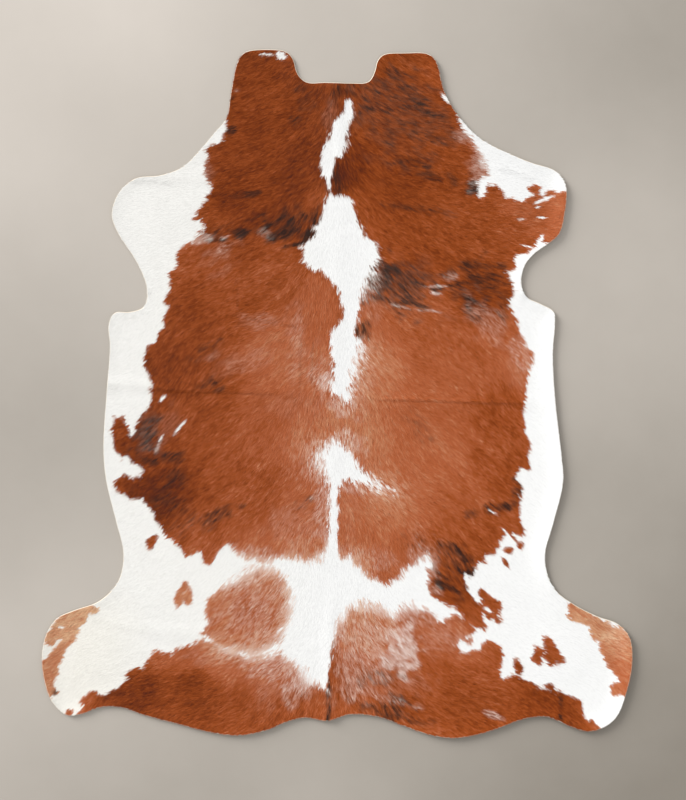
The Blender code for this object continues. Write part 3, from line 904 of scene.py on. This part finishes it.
def oval(points, place, turn):
    """The distance from an oval's middle, 1 at its edge."""
    angle = math.radians(place.angle)
    x, y = (points - np.array((place.across, place.along)) * MM).T
    long_way = (x * math.cos(angle) + y * math.sin(angle)) / (place.length / 2 * MM)
    short_way = (y * math.cos(angle) - x * math.sin(angle)) / (place.width / 2 * MM)
    return np.hypot(long_way, short_way) + turn


def patch_charts():
    """Each patch's distance chart and blend chart."""
    charts = []
    for patch in PATCHES:
        outline = np.array(patch.outline, float) * MM
        distance, blend = from_outline(everywhere, outline)
        charts.append((patch, distance.reshape(CHART_SHAPE), blend.reshape(CHART_SHAPE)))
    return charts


PATCH_CHARTS = patch_charts()


def marked(points, marks, ragged, streaks, streakiness):
    """The share of a kind of hair at each point, streaks of it standing out of the rest."""
    share = np.zeros(len(points))
    for mark in marks:
        near = eased((MARK_RUNS_OUT - oval(points, mark, MARK_RAGGED * ragged)) / MARK_FADE)
        share = np.maximum(share, mark.share * near)
    spread = streakiness * np.sqrt(share * (1 - share)) * np.minimum(share / FAINT_MARK, 1)
    return np.clip(share + spread * streaks, 0, 1)


def tint_at(points):
    """How light the brown is, from the nearest named places."""
    weight = np.zeros(len(points))
    tint = np.zeros(len(points))
    for place in TINTS:
        gap = ((points - np.array((place.across, place.along)) * MM) ** 2).sum(axis=1)
        near = 1 / (gap + TINT_REACH**2) ** 2
        weight += near
        tint += near * place.tint
    return tint / weight


def coat_colours(points, heading, chance):
    """For each tuft: how brown, how light in tint and how dark it is, each from 0 to 1."""
    ragged = combed_noise(points, heading, RAGGED_WAVELENGTH, RAGGED_WAVELENGTH, seed=11)
    strands = combed_noise(points, heading, STRAND_WAVELENGTH, STRAND_LENGTH, seed=12)
    dark_strands = combed_noise(points, heading, DARK_WAVELENGTH, DARK_LENGTH, seed=13)
    locks = combed_noise(points, heading, LOCK_WAVELENGTH, LOCK_LENGTH, seed=14)
    cloud = soft_noise(points, CLOUD_WAVELENGTH, seed=15)
    uneven = PALE_STRANDS * strands + PALE_CHANCE * chance
    wander = RAGGED_EDGE * (EDGE_RAGGED * ragged + EDGE_STRANDS * strands)
    brown = np.zeros(len(points))
    roan = np.zeros(len(points))
    for patch, distance, blend in PATCH_CHARTS:
        inside = read_chart(distance, points) + wander
        width = np.maximum(read_chart(blend, points), NARROWEST)
        share = 0.5 + inside / width
        draw = EDGE_DRAW * uneven * ((share > 0) & (share < 1))
        narrow = np.minimum(SHARP_BLEND / width, 1)
        roan = np.maximum(roan, (1 - narrow) * np.exp(-((inside / width) ** 2)))
        grown = np.clip(0.5 + (1 + SHARPEST * narrow) * (share - 0.5 + draw), 0, 1)
        brown = np.maximum(brown, grown) if patch.brown else brown * (1 - grown)
    for spot in SPOTS:
        edge = oval(points, spot, SPOT_RAGGED * ragged + SPOT_STRANDS * strands)
        grown = eased((SPOT_RUNS_OUT - edge) / SPOT_FADE)
        brown = brown + (float(spot.brown) - brown) * grown
    pale = ROAN_SHARE * roan
    pale = np.clip(pale + FLECK_STREAKINESS * np.sqrt(pale) * uneven, 0, 1)
    brown *= (1 - pale) * (1 - marked(points, FLECK_MARKS, ragged, uneven, FLECK_STREAKINESS))
    tint = tint_at(points) + ROAN_TINT * roan
    variety = 1 - PALE_EVENNESS * np.clip((tint - PALE_FROM) / PALE_FADE, 0, 1)
    tint += variety * (
        STRAND_TINT * strands
        + LOCK_TINT * locks
        + CLOUD_TINT * cloud
        + CHANCE_TINT * np.tanh(chance)
    )
    streaks = DARK_STRANDS * dark_strands + DARK_LOCKS * locks + DARK_CHANCE * chance
    dark = marked(points, DARK_MARKS, ragged, streaks, DARK_STREAKINESS)
    dark_lock = np.clip(-chance - DARK_LOCK_FROM, 0, DARK_LOCK_FROM)
    dark = 1 - (1 - DARKEST * dark) ** DARK_CONTRAST * (1 - DARK_LOCK * dark_lock)
    return brown, np.clip(tint, 0, 1), dark


# ---------------------------------------------------------------------------------------------
# Materials
# ---------------------------------------------------------------------------------------------
def linear(colour):
    """A colour written as an sRGB hex value, as the linear light that the shader takes."""
    parts = [int(colour[place : place + 2], 16) / 255 for place in (0, 2, 4)]
    lit = [part / 12.92 if part <= 0.04045 else ((part + 0.055) / 1.055) ** 2.4 for part in parts]
    return (*lit, 1.0)


def add(tree, kind, inputs=None, **settings):
    """Adds a node with its settings. An input takes a value, an output or a node's first output."""
    made = tree.nodes.new(kind)
    for setting, value in settings.items():
        setattr(made, setting, value)
    for socket, value in (inputs or {}).items():
        if isinstance(value, bpy.types.Node):
            value = value.outputs[0]
        if isinstance(value, bpy.types.NodeSocket):
            tree.links.new(value, made.inputs[socket])
        else:
            made.inputs[socket].default_value = value
    return made


def new_material(name):
    """A material with no nodes yet, and its tree."""
    material = bpy.data.materials.new(name)
    material.use_nodes = True
    material.node_tree.nodes.clear()
    return material, material.node_tree


# Cattle hair is keratin with a thin waxy cuticle: coloured right through, with a soft streak of
# gloss along each lock. The brown is rust, browner and deeper on the neck, fading to tan.
BROWN_HAIR = (
    (0.0, "5E250D"),
    (0.25, "82390D"),
    (0.5, "9D4C1E"),
    (0.75, "B4633D"),
    (0.88, "C4845F"),
    (1.0, "D8AD88"),
)
BLACK_HAIR = "2A1D18"
WHITE_HAIR = "EDEDEC"
CREAM_HAIR = "EAE7DF"
# a few white hairs among brown ones let the brown through, and look warmer
WARMED_HAIR = "E9D5C6"

# How a lock is painted darker at its root and lighter at its tip, as painted shade deep in the
# coat, and how its tone varies between its strands; how deep both go in white and in brown hair;
# and how rough its strands are.
ROOT_TO_TIP_PAINTED_SHADE = (0.84, 1.16)
STRAND_SHADE = (0.86, 1.14)
PAINTED_SHADE_IN_WHITE_AND_BROWN = (0.15, 1.0)
STRAND_ROUGHNESS = (0.5, 0.68)

# Tanned grain shows its pores: follicles, drawn a little wider apart than they are. Suede shows
# clouds from shaving and drying, and a short nap.
PORE_SPACING = 1.2 * MM
SUEDE_PALE = "EBE2D3"
SUEDE_DEEP = "D6C7AE"
SUEDE_CLOUD = 60.0 * MM
NAP_LENGTH = 1.0 * MM


def hair_colour(tree):
    """The colour that the hair has at a place, from the coat's attributes."""
    brown, tint, dark, cream = (
        add(tree, "ShaderNodeAttribute", attribute_name=name).outputs["Fac"]
        for name in ("brown", "tint", "dark", "cream")
    )
    ramp = add(tree, "ShaderNodeValToRGB", {"Fac": tint})
    stops = ramp.color_ramp.elements
    for place, (share, colour) in enumerate(BROWN_HAIR):
        stop = stops[place] if place < 2 else stops.new(share)
        stop.position = share
        stop.color = linear(colour)
    browns = add(
        tree, "ShaderNodeMix", {0: dark, 6: ramp, 7: linear(BLACK_HAIR)}, data_type="RGBA"
    )
    whites = add(
        tree,
        "ShaderNodeMix",
        {0: cream, 6: linear(WHITE_HAIR), 7: linear(CREAM_HAIR)},
        data_type="RGBA",
    )
    warmed = add(
        tree,
        "ShaderNodeMix",
        {0: brown, 6: whites.outputs[2], 7: linear(WARMED_HAIR)},
        data_type="RGBA",
    )
    hair = add(
        tree,
        "ShaderNodeMix",
        {0: brown, 6: warmed.outputs[2], 7: browns.outputs[2]},
        data_type="RGBA",
    )
    return hair.outputs[2]


def coat_material():
    """Natural cowhide hair, brushed flat: locks with fine strands, painted darker at the root as
    shade in the coat.
    """
    material, tree = new_material("natural_cow_hair_brushed_flat")
    brown, lock, along, across = (
        add(tree, "ShaderNodeAttribute", attribute_name=name).outputs["Fac"]
        for name in ("brown", "lock", "along_hair", "across_hair")
    )
    # a lock measures 1.7 across here, so its strands are about 0.2 mm wide
    strand = add(tree, "ShaderNodeCombineXYZ", {0: lock, 1: across})
    fine = add(tree, "ShaderNodeTexNoise", {"Vector": strand, "Scale": 9.0, "Detail": 2.0})
    painted_root_shade, stranded, painted_shade_and_tone_depth, roughness = (
        add(tree, "ShaderNodeMapRange", {"Value": value, "To Min": low, "To Max": high})
        for value, (low, high) in (
            (along, ROOT_TO_TIP_PAINTED_SHADE),
            (fine, STRAND_SHADE),
            (brown, PAINTED_SHADE_IN_WHITE_AND_BROWN),
            (fine, STRAND_ROUGHNESS),
        )
    )
    # painted shade: each lock is darker towards its root and lighter towards its tip, times its
    # strands' own tone
    shade = add(tree, "ShaderNodeMath", {0: painted_root_shade, 1: stranded}, operation="MULTIPLY")
    grey = add(tree, "ShaderNodeCombineColor", {0: shade, 1: shade, 2: shade})
    shaded = add(
        tree,
        "ShaderNodeMix",
        {0: painted_shade_and_tone_depth, 6: hair_colour(tree), 7: grey},
        data_type="RGBA",
        blend_type="MULTIPLY",
    )
    bump = add(tree, "ShaderNodeBump", {"Height": fine, "Strength": 0.35, "Distance": 0.2 * MM})
    hair = add(
        tree,
        "ShaderNodeBsdfPrincipled",
        {
            "Base Color": shaded.outputs[2],
            "Roughness": roughness,
            "Specular IOR Level": 0.1,
            "Normal": bump,
        },
    )
    add(tree, "ShaderNodeOutputMaterial", {"Surface": hair})
    return material


def hair_side_material():
    """The skin under the coat: tanned grain, stained as the hair above it, with pores."""
    material, tree = new_material("tanned_grain_under_the_coat")
    place = add(tree, "ShaderNodeTexCoord").outputs["Object"]
    pores = add(tree, "ShaderNodeTexVoronoi", {"Vector": place, "Scale": 1 / PORE_SPACING})
    shaded = add(
        tree,
        "ShaderNodeMix",
        {0: 0.25, 6: hair_colour(tree), 7: pores},
        data_type="RGBA",
        blend_type="MULTIPLY",
    )
    bump = add(tree, "ShaderNodeBump", {"Height": pores, "Strength": 0.4, "Distance": 0.3 * MM})
    grain = add(
        tree,
        "ShaderNodeBsdfPrincipled",
        {
            "Base Color": shaded.outputs[2],
            "Roughness": 0.7,
            "Specular IOR Level": 0.1,
            "Normal": bump,
        },
    )
    add(tree, "ShaderNodeOutputMaterial", {"Surface": grain})
    return material


def flesh_side_material():
    """The flesh side and the cut edge: buffed suede, chalky and matt, with a short soft nap."""
    material, tree = new_material("buffed_suede_flesh_side")
    place = add(tree, "ShaderNodeTexCoord").outputs["Object"]
    clouds = add(
        tree, "ShaderNodeTexNoise", {"Vector": place, "Scale": 1 / SUEDE_CLOUD, "Detail": 4.0}
    )
    nap = add(tree, "ShaderNodeTexNoise", {"Vector": place, "Scale": 1 / NAP_LENGTH, "Detail": 3.0})
    tone = add(
        tree,
        "ShaderNodeMix",
        {0: clouds, 6: linear(SUEDE_PALE), 7: linear(SUEDE_DEEP)},
        data_type="RGBA",
    )
    napped = add(
        tree,
        "ShaderNodeMix",
        {0: 0.3, 6: tone.outputs[2], 7: nap.outputs["Color"]},
        data_type="RGBA",
        blend_type="SOFT_LIGHT",
    )
    bump = add(tree, "ShaderNodeBump", {"Height": nap, "Strength": 0.5, "Distance": 0.4 * MM})
    suede = add(
        tree,
        "ShaderNodeBsdfPrincipled",
        {
            "Base Color": napped.outputs[2],
            "Roughness": 0.93,
            "Sheen Weight": 0.25,
            "Normal": bump,
        },
    )
    add(tree, "ShaderNodeOutputMaterial", {"Surface": suede})
    return material


# ---------------------------------------------------------------------------------------------
# The hide: one closed sheet
# ---------------------------------------------------------------------------------------------
def field_inside(step, clearance):
    """A field of points step apart, every other row shifted, that keeps clear of the cut edge."""
    low, high = RIM.min(axis=0), RIM.max(axis=0)
    row_step = step * math.sqrt(3) / 2
    rows, columns = np.mgrid[
        : math.ceil((high[1] - low[1]) / row_step) + 1, : math.ceil((high[0] - low[0]) / step) + 1
    ]
    across = low[0] + (columns + rows % 2 / 2) * step
    along = low[1] + rows * row_step
    points = np.column_stack((across.ravel(), along.ravel()))
    return points[read_chart(RIM_CHART, points) > clearance]


# what the triangulation keeps, and how near two points count as one
INSIDE_ONLY = 1
SAME_PLACE = 0.0001 * MM


def sheet_side(border, field):
    """The points and triangles of one side of the hide, its border first."""
    corners = [tuple(point) for point in (*border, *field)]
    edge = [tuple(range(len(border)))]
    points, _, triangles, _, _, _ = delaunay_2d_cdt(corners, [], edge, INSIDE_ONLY, SAME_PLACE)
    return np.array([tuple(point) for point in points]), triangles


def skin_top(points):
    """The height of the hair side."""
    return read_chart(UNDERSIDE, points) + SKIN_THICKNESS


def add_attribute(mesh, name, values):
    """Gives each point of a mesh a number that its material or its node tree reads."""
    mesh.attributes.new(name, "FLOAT", "POINT").data.foreach_set(
        "value", np.asarray(values, np.float32)
    )


def cream_share(points):
    """How creamy the white hair is: most on the left thigh, a little on the left side."""
    across, along = points.T
    left_thigh = eased((CREAM_THIGH_FROM - across) / CREAM_THIGH_ACROSS)
    left_thigh *= eased((CREAM_THIGH_FROM - along) / CREAM_THIGH_ALONG)
    left_side = CREAM_SIDE_SHARE * eased((CREAM_SIDE_FROM - across) / CREAM_SIDE_ACROSS)
    return np.clip(np.maximum(left_thigh, left_side), 0, 1)


def set_colours(mesh, points, heading, chance):
    """Writes the hair's colours on a mesh, and returns how brown each point is."""
    brown, tint, dark = coat_colours(points, heading, chance)
    add_attribute(mesh, "brown", brown)
    add_attribute(mesh, "tint", tint)
    add_attribute(mesh, "dark", dark)
    add_attribute(mesh, "cream", cream_share(points))
    return brown


# The sheet's bake layout: the scale to a metre and the low corner of each side's part. On the cut
# edge the upper points are laid a little outside the flesh side.
HAIR_SIDE_LAYOUT = (0.43, (0.01, 0.01))
FLESH_SIDE_LAYOUT = (0.1, (0.8, 0.06))
EDGE_LAYOUT_WIDTH = 30.0 * MM


def bake_layout(mesh, hair_points):
    """A flat layout for baking: the hair side large, the flesh side small beside it."""
    uv = mesh.uv_layers.new(name="OFBake")
    corner = np.zeros(len(mesh.loops), np.int32)
    mesh.loops.foreach_get("vertex_index", corner)
    place = np.zeros(len(mesh.vertices) * 3)
    mesh.vertices.foreach_get("co", place)
    flat = place.reshape(-1, 3)[:, :2]
    slot = np.zeros(len(mesh.polygons), np.int32)
    mesh.polygons.foreach_get("material_index", slot)
    size = np.zeros(len(mesh.polygons), np.int32)
    mesh.polygons.foreach_get("loop_total", size)
    flesh = np.repeat(slot, size) == 1
    on_hair_rim = corner < hair_points
    spread = flat.copy()
    spread[: len(RIM)] += RIM_OUTWARD * EDGE_LAYOUT_WIDTH
    where = np.where((flesh & on_hair_rim)[:, None], spread[corner], flat[corner])
    where = where - RIM.min(axis=0)
    hair_part, flesh_part = (
        where * scale + low_corner for scale, low_corner in (HAIR_SIDE_LAYOUT, FLESH_SIDE_LAYOUT)
    )
    layout = np.where(flesh[:, None], flesh_part, hair_part)
    uv.data.foreach_set("uv", layout.astype(np.float32).ravel())


def hide_sheet():
    """The tanned hide: hair side, flesh side and the slanting cut edge, as one closed body."""
    hair_rim = RIM - RIM_OUTWARD * KNIFE_SLANT
    hair_field = field_inside(HAIR_SIDE_STEP, HAIR_SIDE_CLEARANCE)
    hair_side, hair_triangles = sheet_side(hair_rim, hair_field)
    flesh_field = field_inside(FLESH_SIDE_STEP, FLESH_SIDE_CLEARANCE)
    flesh_side, flesh_triangles = sheet_side(RIM, flesh_field)
    top = np.column_stack((hair_side, skin_top(hair_side)))
    under = np.column_stack((flesh_side, read_chart(UNDERSIDE, flesh_side)))
    start = len(top)
    faces = [tuple(triangle) for triangle in hair_triangles]
    faces += [tuple(start + i for i in reversed(triangle)) for triangle in flesh_triangles]
    for here in range(len(RIM)):
        there = (here + 1) % len(RIM)
        faces.append((start + here, start + there, there, here))
    mesh = bpy.data.meshes.new("hide_sheet")
    mesh.from_pydata(np.vstack((top, under)).tolist(), [], faces)
    mesh.materials.append(hair_side_material())
    mesh.materials.append(flesh_side_material())
    is_flesh = np.arange(len(faces)) >= len(hair_triangles)
    mesh.polygons.foreach_set("material_index", is_flesh.astype(np.int32))
    shape = bmesh.new()
    shape.from_mesh(mesh)
    bmesh.ops.recalc_face_normals(shape, faces=shape.faces)
    shape.to_mesh(mesh)
    shape.free()
    everything = np.vstack((hair_side, flesh_side))
    set_colours(mesh, everything, hair_heading(everything), np.zeros(len(everything)))
    bake_layout(mesh, start)
    mesh.shade_smooth()
    mesh.set_sharp_from_angle(angle=SHARP_ANGLE)
    sheet = bpy.data.objects.new("hide_sheet", mesh)
    bpy.context.scene.collection.objects.link(sheet)
    return sheet


# ---------------------------------------------------------------------------------------------
# The coat
# ---------------------------------------------------------------------------------------------
def tuft_roots():
    """A root every few millimetres, set at random within its own cell."""
    step = TUFT_STEP * 1
    roots = field_inside(step, -CELL_OVERHANG)
    jitter = np.random.default_rng(SEED).uniform(-ROOT_JITTER, ROOT_JITTER, roots.shape)
    roots = roots + jitter * step
    return roots[read_chart(RIM_CHART, roots) > KNIFE_SLANT + ROOT_INSET]


def length_to_rim(roots, heading, length):
    """Each tuft's length, shortened where it would reach far over the cut edge."""
    inside = read_chart(RIM_CHART, roots)
    tip = read_chart(RIM_CHART, roots + heading * length[:, None])
    room = (inside + TUFT_OVERHANG) / np.maximum(inside - tip, TINY)
    return np.where(tip < -TUFT_OVERHANG, length * np.clip(room, SHORTEST_TUFT, 1), length)


# What each root carries into the tree: where its lock points, the skin's upward direction, and
# the shares of the full length and of the full height off the skin.
ROOT_ATTRIBUTES = {
    "heading": "FLOAT_VECTOR",
    "skin_up": "FLOAT_VECTOR",
    "length_share": "FLOAT",
    "rise": "FLOAT",
}


def tuft_tree(material):
    """Lays one lock of hair at each root, along the root's own direction on the skin."""
    tree = bpy.data.node_groups.new("tufts_on_skin", "GeometryNodeTree")
    tree.interface.new_socket("Geometry", in_out="OUTPUT", socket_type="NodeSocketGeometry")
    tree.interface.new_socket("Roots", in_out="INPUT", socket_type="NodeSocketGeometry")
    for name in ("Tuft Length", "Tuft Width", "Tuft Height", "Lift", "Lean"):
        tree.interface.new_socket(name, in_out="INPUT", socket_type="NodeSocketFloat")
    tree.interface.new_socket("Seed", in_out="INPUT", socket_type="NodeSocketInt")
    given = add(tree, "NodeGroupInput").outputs

    # a lock is a three-sided cone, laid down with one edge up as its ridge: 4 triangles
    lock = add(
        tree,
        "GeometryNodeMeshCone",
        {"Vertices": 3, "Radius Top": 0.0, "Radius Bottom": 1.0, "Depth": 1.0},
        fill_type="NGON",
    )
    place = add(tree, "GeometryNodeInputPosition")
    here = add(tree, "ShaderNodeSeparateXYZ", {0: place}).outputs
    for name, value in (("along_hair", here["Z"]), ("across_hair", here["Y"])):
        lock = add(
            tree,
            "GeometryNodeStoreNamedAttribute",
            {"Geometry": lock, "Name": name, "Value": value},
            data_type="FLOAT",
            domain="POINT",
        )
    # a cone of radius 1 with three sides is the root of 3 wide and 1.5 high
    half_width, half_height = (
        add(tree, "ShaderNodeMath", {0: given[size], 1: of_cone}, operation="DIVIDE")
        for size, of_cone in (("Tuft Width", math.sqrt(3)), ("Tuft Height", 1.5))
    )
    size = add(
        tree, "ShaderNodeCombineXYZ", {0: half_height, 1: half_width, 2: given["Tuft Length"]}
    )
    laid = add(
        tree,
        "GeometryNodeTransform",
        {"Geometry": lock, "Rotation": (-math.pi / 2, -math.pi / 2, 0), "Scale": size},
    )

    points = add(tree, "GeometryNodeMeshToPoints", {"Mesh": given["Roots"]})
    heading, skin_up, length_share, rise = (
        add(tree, "GeometryNodeInputNamedAttribute", {"Name": name}, data_type=kind)
        for name, kind in ROOT_ATTRIBUTES.items()
    )
    on_skin = add(
        tree,
        "FunctionNodeAxesToRotation",
        {0: skin_up, 1: heading},
        primary_axis="Z",
        secondary_axis="Y",
    )
    # its tip is lifted off the skin, and it leans and twists to either side, all by chance
    least_lift, most_lift, other_lean = (
        add(tree, "ShaderNodeMath", {0: given[angle], 1: times}, operation="MULTIPLY")
        for angle, times in (("Lift", LEAST_LIFT), ("Lift", MOST_LIFT), ("Lean", -1.0))
    )
    least = add(tree, "ShaderNodeCombineXYZ", {0: least_lift, 1: other_lean, 2: other_lean})
    most = add(tree, "ShaderNodeCombineXYZ", {0: most_lift, 1: given["Lean"], 2: given["Lean"]})
    uneven = add(
        tree,
        "FunctionNodeRandomValue",
        {0: least, 1: most, "Seed": given["Seed"]},
        data_type="FLOAT_VECTOR",
    )
    risen = add(tree, "ShaderNodeCombineXYZ", {0: rise, 1: 1.0, 2: 1.0})
    tilt = add(tree, "ShaderNodeVectorMath", {0: uneven, 1: risen}, operation="MULTIPLY")
    turned = add(
        tree,
        "FunctionNodeRotateRotation",
        {0: on_skin, 1: add(tree, "FunctionNodeEulerToRotation", {0: tilt})},
        rotation_space="LOCAL",
    )
    scale = add(tree, "ShaderNodeCombineXYZ", {0: 1.0, 1: length_share, 2: rise})
    tufts = add(
        tree,
        "GeometryNodeInstanceOnPoints",
        {"Points": points, "Instance": laid, "Rotation": turned, "Scale": scale},
    )
    real = add(tree, "GeometryNodeRealizeInstances", {0: tufts})
    dressed = add(tree, "GeometryNodeSetMaterial", {"Geometry": real, "Material": material})
    add(tree, "NodeGroupOutput", {0: dressed})
    return tree


# Where each corner of a tuft's four triangles goes in its own cell of the bake layout: the left
# flank, the keel, the right flank and the root end, in the order in which the cone has them.
RIDGE, LEFT, RIGHT, TIP = (0.5, 0.3), (0.12, 0.24), (0.88, 0.24), (0.5, 0.92)
TUFT_CELL = (
    RIDGE, LEFT, TIP,
    LEFT, RIGHT, TIP,
    RIGHT, RIDGE, TIP,
    (0.85, 0.06), (0.15, 0.06), (0.5, 0.2),
)


def tuft_layout(mesh):
    """A cell of its own for each tuft in the bake layout."""
    tufts = len(mesh.polygons) // 4
    side = math.ceil(math.sqrt(tufts))
    cells = np.column_stack((np.arange(tufts) % side, np.arange(tufts) // side))
    layout = (cells[:, None] + np.array(TUFT_CELL)) / side
    uv = mesh.uv_layers.new(name="OFBake")
    uv.data.foreach_set("uv", layout.astype(np.float32).ravel())


def coat_piece(name, roots, heading, lengths, seed, tree):
    """One band of the coat as a plain mesh of tufts."""
    random = np.random.default_rng(100 * SEED + seed)
    chance = random.standard_normal(len(roots))
    slope = coat_slope(roots)
    skin_up = np.column_stack((-slope, np.ones(len(roots))))
    skin_up /= np.linalg.norm(skin_up, axis=1)[:, None]
    rise = (slope * heading).sum(axis=1)
    mesh = bpy.data.meshes.new(name)
    place = np.column_stack((roots, skin_top(roots) + crease_rise(roots)))
    mesh.from_pydata(place.tolist(), [], [])
    for key, vector in (("heading", np.column_stack((heading, rise))), ("skin_up", skin_up)):
        mesh.attributes.new(key, "FLOAT_VECTOR", "POINT").data.foreach_set(
            "vector", vector.astype(np.float32).ravel()
        )
    add_attribute(mesh, "length_share", lengths / TUFT_LENGTH)
    add_attribute(mesh, "lock", random.uniform(0, 100, len(roots)))
    middle = roots + heading * lengths[:, None] * 0.5
    brown = set_colours(mesh, middle, heading, chance)
    add_attribute(mesh, "rise", WHITE_HAIR_RISE + (1 - WHITE_HAIR_RISE) * brown)
    piece = bpy.data.objects.new(name, mesh)
    bpy.context.scene.collection.objects.link(piece)
    grow = piece.modifiers.new("tufts", "NODES")
    grow.node_group = tree
    sizes = {
        "Tuft Length": TUFT_LENGTH,
        "Tuft Width": TUFT_WIDTH * 1,
        "Tuft Height": TUFT_HEIGHT,
        "Lift": TUFT_LIFT,
        "Lean": TUFT_LEAN,
        "Seed": SEED + seed,
    }
    for socket in tree.interface.items_tree:
        if socket.name in sizes:
            grow[socket.identifier] = sizes[socket.name]
    ready = bpy.context.evaluated_depsgraph_get()
    grown = bpy.data.meshes.new_from_object(piece.evaluated_get(ready))
    piece.modifiers.clear()
    piece.data = grown
    grown.name = name
    for key in ROOT_ATTRIBUTES:
        grown.attributes.remove(grown.attributes[key])
    tuft_layout(grown)
    return piece


def coat():
    """The whole coat, parted into bands from the rump to the neck."""
    roots = tuft_roots()
    heading = hair_heading(roots)
    swirl = SWIRL_TURN * soft_noise(roots, SWIRL_WAVELENGTH, seed=21)
    swirl += EDDY_TURN * soft_noise(roots, EDDY_WAVELENGTH, seed=22)
    turned = np.stack((-heading[:, 1], heading[:, 0]), axis=1)
    heading = heading * np.cos(swirl)[:, None] + turned * np.sin(swirl)[:, None]
    random = np.random.default_rng(SEED + 1)
    uncut = TUFT_LENGTH * random.uniform(*SHORT_AND_LONG, len(roots))
    lengths = length_to_rim(roots, heading, uncut)
    tree = tuft_tree(coat_material())
    order = np.argsort(roots[:, 1], kind="stable")
    bands = np.array_split(order, len(COAT_PIECES))
    return [
        coat_piece(name, roots[band], heading[band], lengths[band], seed, tree)
        for seed, (name, band) in enumerate(zip(COAT_PIECES, bands))
    ]


# ---------------------------------------------------------------------------------------------
# Floor, light and camera
# ---------------------------------------------------------------------------------------------
FLOOR_REACH = 14.0
# the floor's two tones: its mottling and its painted light and shade run between them
PLASTER_DEEP = "857E74"
PLASTER_PALE = "D4CCC3"

# The lamp stands for a window at the upper left, and the room for the light off pale walls.
WINDOW_LIGHT = 3.6
WINDOW_SPREAD = math.radians(28)
WINDOW_COLOUR = (1.0, 0.995, 0.985)
WINDOW_TOWARDS = (0.71, -0.55, -0.34)
ROOM_LIGHT = 0.845
ROOM_COLOUR = "F6F6F6"

CAMERA_PLACE = (18.6 * MM, -20.0 * MM, 4752.0 * MM)
CAMERA_LENS = 70
CAMERA_SENSOR = 36

# Broad pools of painted light and painted shade on the floor, in metres: each lightens the plaster,
# or darkens it.
LightPool = namedtuple("LightPool", "name across along reach light")
FLOOR_LIGHT_POOLS = (
    LightPool("upper left", -0.65, 1.25, 0.50, 0.50),
    LightPool("upper right", 0.95, 1.15, 0.75, -0.45),
    LightPool("left, below the middle", -1.05, -0.05, 0.75, -0.85),
    LightPool("lower left", -0.75, -0.75, 0.60, 0.45),
    LightPool("below the middle", 0.00, -1.25, 0.60, 0.50),
    LightPool("right of the middle", 1.00, 0.25, 0.90, 0.85),
    LightPool("right, below the middle", 0.80, -0.60, 0.40, 0.40),
)


def floor_material():
    """A pale, matt plaster floor with soft mottling, painted lighter towards the window and with
    pools of painted light and shade.
    """
    material, tree = new_material("pale_plaster_with_painted_light")
    place = add(tree, "ShaderNodeTexCoord").outputs["Object"]
    # painted light: the plaster is painted lighter towards the window at the upper left
    painted_light_to_window = add(
        tree, "ShaderNodeVectorMath", {0: place, 1: (-0.75, 0.6, 0)}, operation="DOT_PRODUCT"
    )
    uneven = add(
        tree, "ShaderNodeTexNoise", {"Vector": place, "Scale": 2.4, "Detail": 4.0, "Roughness": 0.6}
    )
    light = add(
        tree,
        "ShaderNodeMath",
        {0: uneven, 1: 0.7, 2: painted_light_to_window.outputs["Value"]},
        operation="MULTIPLY_ADD",
    )
    for cloud in FLOOR_LIGHT_POOLS:
        middle = (cloud.across, cloud.along, 0)
        gap = add(tree, "ShaderNodeVectorMath", {0: place, 1: middle}, operation="DISTANCE")
        near = add(
            tree,
            "ShaderNodeMapRange",
            {
                "Value": gap.outputs["Value"],
                "From Max": cloud.reach,
                "To Min": cloud.light,
                "To Max": 0.0,
            },
            interpolation_type="SMOOTHSTEP",
        )
        light = add(tree, "ShaderNodeMath", {0: light, 1: near})
    share = add(
        tree, "ShaderNodeMapRange", {"Value": light, "From Min": -1.1, "From Max": 2.5}
    )
    tone = add(
        tree,
        "ShaderNodeMix",
        {0: share, 6: linear(PLASTER_DEEP), 7: linear(PLASTER_PALE)},
        data_type="RGBA",
    )
    plaster = add(
        tree, "ShaderNodeBsdfPrincipled", {"Base Color": tone.outputs[2], "Roughness": 0.9}
    )
    add(tree, "ShaderNodeOutputMaterial", {"Surface": plaster})
    return material


def add_floor():
    """A plain floor, far wider than the rug."""
    mesh = bpy.data.meshes.new("floor")
    turns = ((-1, -1), (1, -1), (1, 1), (-1, 1))
    corners = [(x * FLOOR_REACH, y * FLOOR_REACH, 0) for x, y in turns]
    mesh.from_pydata(corners, [], [(0, 1, 2, 3)])
    mesh.materials.append(floor_material())
    floor = bpy.data.objects.new("floor", mesh)
    bpy.context.scene.collection.objects.link(floor)


def add_light():
    """One broad soft lamp from the upper left, and an even pale room."""
    lamp = bpy.data.lights.new("window", "SUN")
    lamp.energy = WINDOW_LIGHT
    lamp.angle = WINDOW_SPREAD
    lamp.color = WINDOW_COLOUR
    window = bpy.data.objects.new("window", lamp)
    window.rotation_mode = "QUATERNION"
    window.rotation_quaternion = Vector(WINDOW_TOWARDS).to_track_quat("-Z", "Y")
    bpy.context.scene.collection.objects.link(window)
    world = bpy.data.worlds.new("room")
    world.use_nodes = True
    background = world.node_tree.nodes["Background"]
    background.inputs["Color"].default_value = linear(ROOM_COLOUR)
    background.inputs["Strength"].default_value = ROOM_LIGHT
    bpy.context.scene.world = world
    bpy.context.scene.view_settings.view_transform = "Standard"


def add_camera():
    """Straight above the rug, the neck at the top."""
    lens = bpy.data.cameras.new("camera")
    lens.lens = CAMERA_LENS
    lens.sensor_width = CAMERA_SENSOR
    camera = bpy.data.objects.new("camera", lens)
    camera.location = CAMERA_PLACE
    bpy.context.scene.collection.objects.link(camera)
    bpy.context.scene.camera = camera


add_floor()
add_light()
add_camera()
sheet = hide_sheet()
bands = coat()
for piece in (sheet, *bands):
    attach(piece, "root")
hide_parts("hide")
